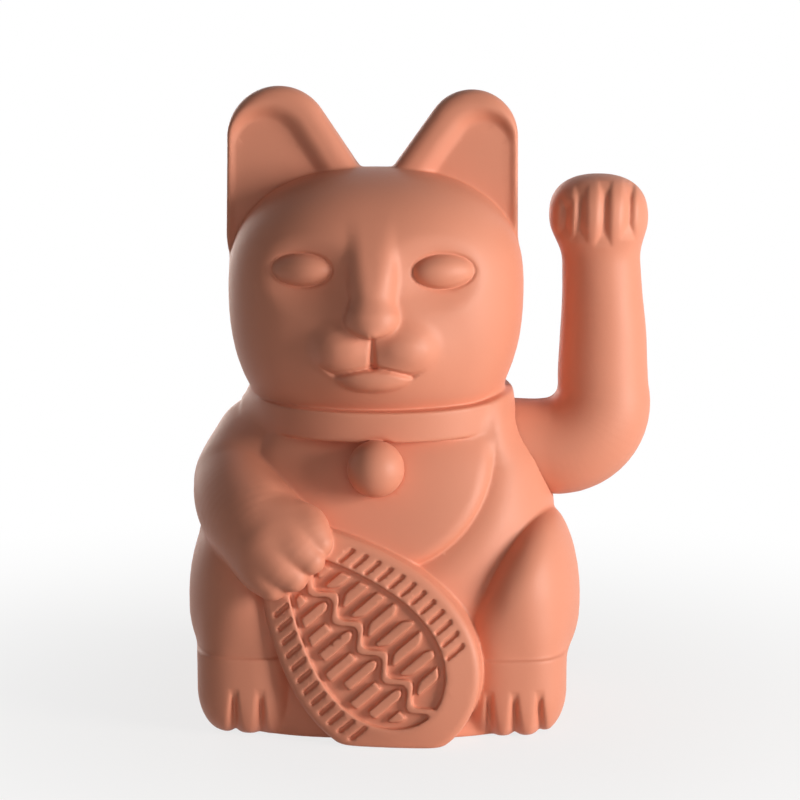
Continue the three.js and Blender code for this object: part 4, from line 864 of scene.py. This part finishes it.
def build_arm(settings):
    """The raised arm as one block of distances, hollow from the root to the wrist."""
    knots = arm_knots()
    block = Block(ARM_BOX, pitch_now(settings))
    cuts = [((x, top), (x - PAW_GROOVE_LEAN, foot), PAW_GROOVE_WIDTHS) for x, top, foot in PAW_GROOVES]
    arm = together((limb(knots, 72), ball(*PAW)), 5.0)
    block.join(grooved(arm, cuts, settings.finger_depth / MM, PAW_BACK))
    hollow = block.like(np.full_like(block.values, FAR))
    hollow.join(limb([(x, y, z, radius - ARM_WALL) for x, y, z, radius in knots[:-1]], 36))
    block.values = np.maximum(block.values, -hollow.values)
    block.cut(0, 1, ARM_ROOT, 0.4)
    return block


# The painted skins

SEAM_EDGE = 0.25


def pitch_now(settings):
    """The samples' spacing in millimetres."""
    return settings.skin_pitch / MM


def paint_halves(block, pieces, body, settings):
    """Splits a block along the moulding seam and shows each painted half for its own solid."""
    paint = coral_paint(settings)
    seam = settings.seam_gap / MM
    for (name, node), keep in zip(pieces, (-1, 1)):
        half = block.like(block.values.copy())
        half.cut(1, keep, keep * seam / 2, SEAM_EDGE)
        skin = half.skin(name)
        skin.data.materials.append(paint)
        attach(skin, body)
        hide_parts(node)


# Finishes


def linear(colour):
    """An sRGB hex colour as linear red, green, blue and alpha."""
    parts = [int(colour[i : i + 2], 16) / 255 for i in (1, 3, 5)]
    return (*[p / 12.92 if p <= 0.04045 else ((p + 0.055) / 1.055) ** 2.4 for p in parts], 1.0)


def per_mm(size):
    """The scale of a texture in metres whose features are that many millimetres across."""
    return 1000.0 / size


def add(tree, kind, settings=None, links=None):
    """Adds a node, sets its properties or input values, and links its inputs."""
    node = tree.nodes.new(kind)
    for key, value in (settings or {}).items():
        if isinstance(key, str) and hasattr(node, key):
            setattr(node, key, value)
        else:
            node.inputs[key].default_value = value
    for key, source in (links or {}).items():
        tree.links.new(source, node.inputs[key])
    return node


def new_material(name):
    """A material without a shader yet, its node tree, and the place of each point on the object."""
    material = bpy.data.materials.new(name)
    material.use_nodes = True
    tree = material.node_tree
    tree.nodes.clear()
    return material, tree, add(tree, "ShaderNodeTexCoord").outputs["Object"]


def coral_paint(settings):
    """Matte acrylic sprayed on moulded ABS."""
    # A soft, broad highlight and a coat a touch uneven where the gun passed twice. Its dry-spray grain is
    # drawn 0.55 mm wide, coarser than it is, so that it shows
    material, tree, place = new_material("sprayed_matte_paint_on_ABS")
    cloud = add(tree, "ShaderNodeTexNoise", {"Scale": per_mm(38), "Detail": 2.0}, {"Vector": place})
    shades = {"data_type": "RGBA", 6: settings.paint_light, 7: settings.paint_dark}
    tone = add(tree, "ShaderNodeMix", shades, {0: cloud.outputs["Fac"]})
    noise = add(tree, "ShaderNodeTexNoise", {"Scale": per_mm(0.55), "Detail": 3.0}, {"Vector": place})
    grain = noise.outputs["Fac"]
    dryness = {"From Min": 0.3, "From Max": 0.7, "To Min": 0.46, "To Max": 0.56}
    gloss = add(tree, "ShaderNodeMapRange", dryness, {"Value": grain})
    bump = add(tree, "ShaderNodeBump", {"Strength": 0.12, "Distance": 0.12 * MM}, {"Height": grain})
    look = {"IOR": 1.48, "Specular IOR Level": 0.42}
    links = {"Base Color": tone.outputs[2], "Roughness": gloss.outputs[0], "Normal": bump.outputs[0]}
    shader = add(tree, "ShaderNodeBsdfPrincipled", look, links)
    add(tree, "ShaderNodeOutputMaterial", links={"Surface": shader.outputs[0]})
    return material


def moulded(name, light, dark, roughness, grain_mm=0.8, strength=0.1):
    """Plastic, resin or lacquer as it leaves the mould or the dip."""
    # Slight clouds where it flowed, and a fine grain, drawn coarser than it is, so that it shows
    material, tree, place = new_material(name)
    cloud = add(tree, "ShaderNodeTexNoise", {"Scale": per_mm(12), "Detail": 2.0}, {"Vector": place})
    tone = add(tree, "ShaderNodeMix", {"data_type": "RGBA", 6: light, 7: dark}, {0: cloud.outputs["Fac"]})
    grain = add(tree, "ShaderNodeTexNoise", {"Scale": per_mm(grain_mm), "Detail": 2.0}, {"Vector": place})
    depth = {"Strength": strength, "Distance": 0.15 * MM}
    bump = add(tree, "ShaderNodeBump", depth, {"Height": grain.outputs["Fac"]})
    links = {"Base Color": tone.outputs[2], "Normal": bump.outputs[0]}
    shader = add(tree, "ShaderNodeBsdfPrincipled", {"Roughness": roughness, "IOR": 1.53}, links)
    add(tree, "ShaderNodeOutputMaterial", links={"Surface": shader.outputs[0]})
    return material


def metal(name, light, dark, roughness):
    """Drawn, turned, sintered or plated metal."""
    # Streaks along X, as the axle was drawn, 0.35 mm wide, coarser than they are, so that they show
    material, tree, place = new_material(name)
    drawn = add(tree, "ShaderNodeMapping", {"Scale": (0.08, 1, 1)}, {"Vector": place}).outputs[0]
    noise = add(tree, "ShaderNodeTexNoise", {"Scale": per_mm(0.35), "Detail": 3.0}, {"Vector": drawn})
    streak = noise.outputs["Fac"]
    tone = add(tree, "ShaderNodeMix", {"data_type": "RGBA", 6: light, 7: dark}, {0: streak})
    spread = {"To Min": roughness - 0.06, "To Max": roughness + 0.1}
    gloss = add(tree, "ShaderNodeMapRange", spread, {"Value": streak})
    links = {"Base Color": tone.outputs[2], "Roughness": gloss.outputs[0]}
    shader = add(tree, "ShaderNodeBsdfPrincipled", {"Metallic": 1.0}, links)
    add(tree, "ShaderNodeOutputMaterial", links={"Surface": shader.outputs[0]})
    return material


def wound_wire():
    """Enamelled copper wire in level turns."""
    # Painted shade in dark lines between bright turns, drawn 0.8 mm apart, wider than the wire, so that
    # they show
    material, tree, place = new_material("enamelled_copper_winding")
    turns = {"bands_direction": "Z", "Scale": per_mm(0.8) * math.tau / 20, "Distortion": 0.4}
    wave = add(tree, "ShaderNodeTexWave", turns, {"Vector": place}).outputs["Fac"]
    # The darker of the two colours is painted shade in the gaps between the turns
    shades = {"data_type": "RGBA", 6: linear("#7A3B1C"), 7: linear("#C97B45")}
    tone = add(tree, "ShaderNodeMix", shades, {0: wave})
    bump = add(tree, "ShaderNodeBump", {"Strength": 0.5, "Distance": 0.2 * MM}, {"Height": wave})
    links = {"Base Color": tone.outputs[2], "Normal": bump.outputs[0]}
    shader = add(tree, "ShaderNodeBsdfPrincipled", {"Metallic": 0.85, "Roughness": 0.35}, links)
    add(tree, "ShaderNodeOutputMaterial", links={"Surface": shader.outputs[0]})
    return material


def dress(nodes, material, edge_mm=0.0):
    """Gives a finish to carried-over solids, and a small round to their edges."""
    for name in nodes:
        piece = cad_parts[name]
        piece.data.materials.clear()
        piece.data.materials.append(material)
        if edge_mm:
            edge = piece.modifiers.new("moulded_edge", "BEVEL")
            edge.width = edge_mm * MM
            edge.segments = 2
            edge.limit_method = "ANGLE"
            edge.angle_limit = math.radians(40)


# The studio

CAMERA_AIM = Vector((4.5, 0.0, 74.5)) * MM
CAMERA_AZIMUTH = math.radians(2.0)
CAMERA_ELEVATION = math.radians(9.0)
VIEW_WIDTH = 193.8  # millimetres across the picture at the aim
SENSOR_WIDTH = 36.0
FLOOR_HALF = 3.0
FLOOR_DROP = 0.2
SHADE_REACH = (0.03, 0.24)  # metres from the figure in which the floor's own shade gives way to white
SHADE_FLOOR = 0.78  # share of white right by the figure
WHITE = linear("#FFFFFF")
# Place, aim, size, watts and colour
LAMPS = {
    "key_softbox": ((0.78, -0.40, 0.17), (0, 0, 0.08), (0.35, 0.40), 8.4, "#FFF6EE"),
    "fill_softbox": ((0.1, -1.0, 0.16), (0, 0, 0.07), (0.8, 0.6), 1.4, "#FFEFE4"),
    "back_softbox": ((-0.45, 0.80, 0.22), (0, 0, 0.07), (0.6, 0.5), 2.8, "#FFF4EA"),
}


def seen_directly(tree):
    """1 for what the camera, a reflection or a glass sees, and 0 for light that bounces."""
    path = add(tree, "ShaderNodeLightPath")
    seen = path.outputs["Is Camera Ray"]
    for name in ("Is Glossy Ray", "Is Transmission Ray"):
        either = add(tree, "ShaderNodeMath", {"operation": "MAXIMUM"}, {0: seen, 1: path.outputs[name]})
        seen = either.outputs[0]
    return seen


def place_camera(scene, distance):
    """The camera at the photograph's viewing angle."""
    camera = bpy.data.objects.new("camera", bpy.data.cameras.new("camera"))
    away = Euler((-CAMERA_ELEVATION, 0, CAMERA_AZIMUTH)).to_matrix() @ Vector((0, -1, 0))
    camera.location = CAMERA_AIM + away * distance
    camera.rotation_euler = (-away).to_track_quat("-Z", "Y").to_euler()
    camera.data.sensor_width = SENSOR_WIDTH
    camera.data.lens = SENSOR_WIDTH * distance / (VIEW_WIDTH * MM)
    camera.data.clip_start = 0.01
    scene.collection.objects.link(camera)
    scene.camera = camera


def pale_air(scene):
    """A faint warm light all round, which shows as white."""
    world = bpy.data.worlds.new("pale_studio_air")
    world.use_nodes = True
    tree = world.node_tree
    tree.nodes.clear()
    air = add(tree, "ShaderNodeBackground", {"Color": linear("#F2ECE6"), "Strength": 0.03})
    white = add(tree, "ShaderNodeBackground", {"Color": WHITE, "Strength": 1.0})
    links = {0: seen_directly(tree), 1: air.outputs[0], 2: white.outputs[0]}
    both = add(tree, "ShaderNodeMixShader", links=links)
    add(tree, "ShaderNodeOutputWorld", links={"Surface": both.outputs[0]})
    scene.world = world


def white_paper(colour):
    """Matte white paper."""
    # Plain, with the figure's soft shadow close by it, and pure white further off
    material, tree, place = new_material("matte_white_paper")
    paper = add(tree, "ShaderNodeBsdfPrincipled", {"Base Color": colour, "Roughness": 0.9})
    glow = add(tree, "ShaderNodeEmission", {"Color": WHITE, "Strength": 1.0})
    away = add(tree, "ShaderNodeVectorMath", {"operation": "LENGTH"}, {0: place})
    reach = {"From Min": SHADE_REACH[0], "From Max": SHADE_REACH[1], "To Min": SHADE_FLOOR, "To Max": 1.0}
    reach["interpolation_type"] = "SMOOTHSTEP"
    fade = add(tree, "ShaderNodeMapRange", reach, {"Value": away.outputs["Value"]})
    links = {0: seen_directly(tree), 1: fade.outputs[0]}
    share = add(tree, "ShaderNodeMath", {"operation": "MULTIPLY"}, links)
    links = {0: share.outputs[0], 1: paper.outputs[0], 2: glow.outputs[0]}
    both = add(tree, "ShaderNodeMixShader", links=links)
    add(tree, "ShaderNodeOutputMaterial", links={"Surface": both.outputs[0]})
    return material


def pale_floor(scene, colour):
    """A wide sheet just under the figure."""
    mesh = bpy.data.meshes.new("pale_floor")
    corners = [(x * FLOOR_HALF, y * FLOOR_HALF, 0) for x, y in ((-1, -1), (1, -1), (1, 1), (-1, 1))]
    mesh.from_pydata(corners, [], [(0, 1, 2, 3)])
    mesh.materials.append(white_paper(colour))
    floor = bpy.data.objects.new("pale_floor", mesh)
    floor.location.z = -FLOOR_DROP * MM
    scene.collection.objects.link(floor)


def soft_lamps(scene):
    """The softboxes round the figure."""
    for name, (place, aim, size, power, colour) in LAMPS.items():
        light = bpy.data.lights.new(name, "AREA")
        light.shape = "RECTANGLE"
        light.size, light.size_y = size
        light.energy = power
        light.color = linear(colour)[:3]
        holder = bpy.data.objects.new(name, light)
        holder.location = place
        holder.rotation_euler = (Vector(aim) - Vector(place)).to_track_quat("-Z", "Y").to_euler()
        scene.collection.objects.link(holder)


# Settings, operators and panel


class LuckyCatSettings(bpy.types.PropertyGroup):
    """Sizes and colours that a user would change"""

    skin_pitch: FloatProperty(
        name="Skin pitch",
        description="Spacing of the samples that the painted skins are drawn from",
        default=0.0004,
        min=0.0003,
        unit="LENGTH",
    )
    seam_gap: FloatProperty(
        name="Seam gap",
        description="Gap between the halves of a painted moulding",
        default=0.00014,
        unit="LENGTH",
    )
    collar_band: FloatProperty(
        name="Collar band", description="Height of the collar's band", default=0.0072, unit="LENGTH"
    )
    bell_radius: FloatProperty(
        name="Bell radius",
        description="Radius of the bell under the collar",
        default=0.00665,
        unit="LENGTH",
    )
    coin_half_width: FloatProperty(
        name="Coin half width", description="Half the coin's width", default=0.0207, unit="LENGTH"
    )
    coin_half_length: FloatProperty(
        name="Coin half length", description="Half the coin's length", default=0.0318, unit="LENGTH"
    )
    toe_depth: FloatProperty(
        name="Toe depth",
        description="Depth of the grooves between the toes",
        default=0.0021,
        unit="LENGTH",
    )
    finger_depth: FloatProperty(
        name="Finger depth",
        description="Depth of the grooves in the raised paw",
        default=0.0015,
        unit="LENGTH",
    )
    edge_round: FloatProperty(
        name="Edge round",
        description="Round on the edges of the base plate and door",
        default=0.0003,
        unit="LENGTH",
    )
    camera_distance: FloatProperty(
        name="Camera distance",
        description="From the camera to the middle of the figure",
        default=0.65,
        unit="LENGTH",
    )
    paint_light: FloatVectorProperty(
        name="Paint",
        description="Coral paint of the body and arm",
        default=linear("#E39A80"),
        size=4,
        subtype="COLOR",
    )
    paint_dark: FloatVectorProperty(
        name="Paint, twice sprayed",
        description="The paint where the gun passed twice",
        default=linear("#DC9176"),
        size=4,
        subtype="COLOR",
    )
    plastic_light: FloatVectorProperty(
        name="Base plastic",
        description="Moulded plastic of the base plate and door",
        default=linear("#D98C70"),
        size=4,
        subtype="COLOR",
    )
    plastic_dark: FloatVectorProperty(
        name="Base plastic, clouds",
        description="The plastic where it flowed",
        default=linear("#D28467"),
        size=4,
        subtype="COLOR",
    )
    floor_colour: FloatVectorProperty(
        name="Floor",
        description="Paper that the figure stands on",
        default=linear("#E2DFDB"),
        size=4,
        subtype="COLOR",
    )


class LUCKYCAT_OT_studio(bpy.types.Operator):
    """Sets the camera, the pale floor and the soft lamps"""

    bl_idname = "lucky_cat.studio"
    bl_label = "Studio"

    def execute(self, context):
        scene = context.scene
        settings = scene.lucky_cat
        scene.view_settings.view_transform = "Standard"
        place_camera(scene, settings.camera_distance)
        pale_air(scene)
        pale_floor(scene, settings.floor_colour)
        soft_lamps(scene)
        return {"FINISHED"}


class LUCKYCAT_OT_body(bpy.types.Operator):
    """Builds the painted front and rear skins of the body"""

    bl_idname = "lucky_cat.body"
    bl_label = "Body shells"

    def execute(self, context):
        settings = context.scene.lucky_cat
        paint_halves(build_figure(settings), FIGURE_HALVES, "figure", settings)
        return {"FINISHED"}


class LUCKYCAT_OT_arm(bpy.types.Operator):
    """Builds the two painted halves of the waving arm"""

    bl_idname = "lucky_cat.arm"
    bl_label = "Waving arm"

    def execute(self, context):
        settings = context.scene.lucky_cat
        paint_halves(build_arm(settings), ARM_HALVES, "waving_arm", settings)
        return {"FINISHED"}


class LUCKYCAT_OT_base(bpy.types.Operator):
    """Finishes the base plate, its door and screws, and the battery"""

    bl_idname = "lucky_cat.base"
    bl_label = "Base and battery"

    def execute(self, context):
        settings = context.scene.lucky_cat
        # Plainer and a little deeper than the paint, since it is left as it came from the mould
        coral = moulded("moulded_coral_ABS", settings.plastic_light, settings.plastic_dark, 0.55)
        dress(("base_plate", "battery_door"), coral, settings.edge_round / MM)
        # Bright and cool, with a soft shine
        zinc = metal("zinc_plated_screw_steel", linear("#C6C8CA"), linear("#9EA1A4"), 0.34)
        dress([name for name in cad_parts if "screw" in name], zinc, 0.1)
        # A smooth, shiny green skin
        sleeve = moulded("lacquered_cell_sleeve", linear("#3F5F4A"), linear("#38543F"), 0.3, 2.0, 0.02)
        dress(("battery_cell",), sleeve, 0.1)
        # Streaky and glinting, grey where the streaks are deep
        spring = metal("drawn_spring_steel", linear("#C4C6C8"), linear("#8F9295"), 0.28)
        dress(("battery_spring",), spring)
        # Warmer than steel, and almost a mirror
        nickel = metal("nickel_plated_contact_strip", linear("#D2D0C9"), linear("#B2AFA6"), 0.22)
        dress(("spring_contact", "pip_contact"), nickel)
        return {"FINISHED"}


class LUCKYCAT_OT_drive(bpy.types.Operator):
    """Finishes the swing bracket, axle, pendulum, coil and circuit board"""

    bl_idname = "lucky_cat.drive"
    bl_label = "Swing drive"

    def execute(self, context):
        # Milky white with a waxy shine
        acetal = moulded("moulded_natural_acetal", linear("#E9E6DD"), linear("#DEDACE"), 0.42)
        dress(("swing_bracket", "coil_bobbin", "arm_hub", "pendulum_lever"), acetal, 0.15)
        # Brown-gold and dull, because pores break its shine
        bronze = metal("sintered_bronze", linear("#B58C50"), linear("#8E6A38"), 0.45)
        dress(("inner_bush", "outer_bush"), bronze)
        # Grey, with the tool's fine marks
        steel = metal("turned_mild_steel", linear("#BEC1C4"), linear("#93979B"), 0.3)
        dress(("axle", "pendulum_weight"), steel)
        # A bright coat that hides the dark core
        magnet = metal("nickel_plated_ferrite", linear("#C9C8C2"), linear("#A9A8A1"), 0.24)
        dress(("pendulum_magnet",), magnet)
        dress(("coil_winding",), wound_wire())
        # Brown, dry and fibrous
        board = moulded("pressed_phenolic_paper", linear("#A07038"), linear("#8A5C2B"), 0.6, 0.3, 0.15)
        dress(("circuit_board",), board, 0.1)
        # Near black and satin
        epoxy = moulded("moulded_black_epoxy", linear("#26282A"), linear("#1C1E20"), 0.5)
        dress(("transistor", "capacitor"), epoxy)
        # Tan and shiny, from the dip
        lacquer = moulded("dipped_tan_lacquer", linear("#CFB58C"), linear("#C2A578"), 0.35)
        dress(("resistor",), lacquer)
        # Smooth and rubbery, with a soft shine
        dress(("negative_lead",), moulded("black_PVC_sleeve", linear("#262626"), linear("#1E1E1E"), 0.45))
        dress(("positive_lead",), moulded("red_PVC_sleeve", linear("#B4332C"), linear("#A12A25"), 0.45))
        return {"FINISHED"}


OPERATORS = (LUCKYCAT_OT_studio, LUCKYCAT_OT_body, LUCKYCAT_OT_arm, LUCKYCAT_OT_base, LUCKYCAT_OT_drive)


class LUCKYCAT_PT_panel(bpy.types.Panel):
    """Lists the figure's settings and pieces"""

    bl_idname = "LUCKYCAT_PT_panel"
    bl_label = "Lucky Cat"
    bl_space_type = "VIEW_3D"
    bl_region_type = "UI"
    bl_category = "Lucky Cat"

    def draw(self, context):
        for name in LuckyCatSettings.__annotations__:
            self.layout.prop(context.scene.lucky_cat, name)
        for operator in OPERATORS:
            self.layout.operator(operator.bl_idname)


CLASSES = (LuckyCatSettings, *OPERATORS, LUCKYCAT_PT_panel)


def register():
    """Registers the classes and gives each scene its settings."""
    for cls in CLASSES:
        bpy.utils.register_class(cls)
    bpy.types.Scene.lucky_cat = PointerProperty(type=LuckyCatSettings)


def unregister():
    """Takes back what register gave."""
    del bpy.types.Scene.lucky_cat
    for cls in reversed(CLASSES):
        bpy.utils.unregister_class(cls)


def main():
    """Builds the figure and its studio."""
    register()
    bpy.ops.lucky_cat.studio()
    bpy.ops.lucky_cat.body()
    bpy.ops.lucky_cat.arm()
    bpy.ops.lucky_cat.base()
    bpy.ops.lucky_cat.drive()


if __name__ == "__main__":
    main()
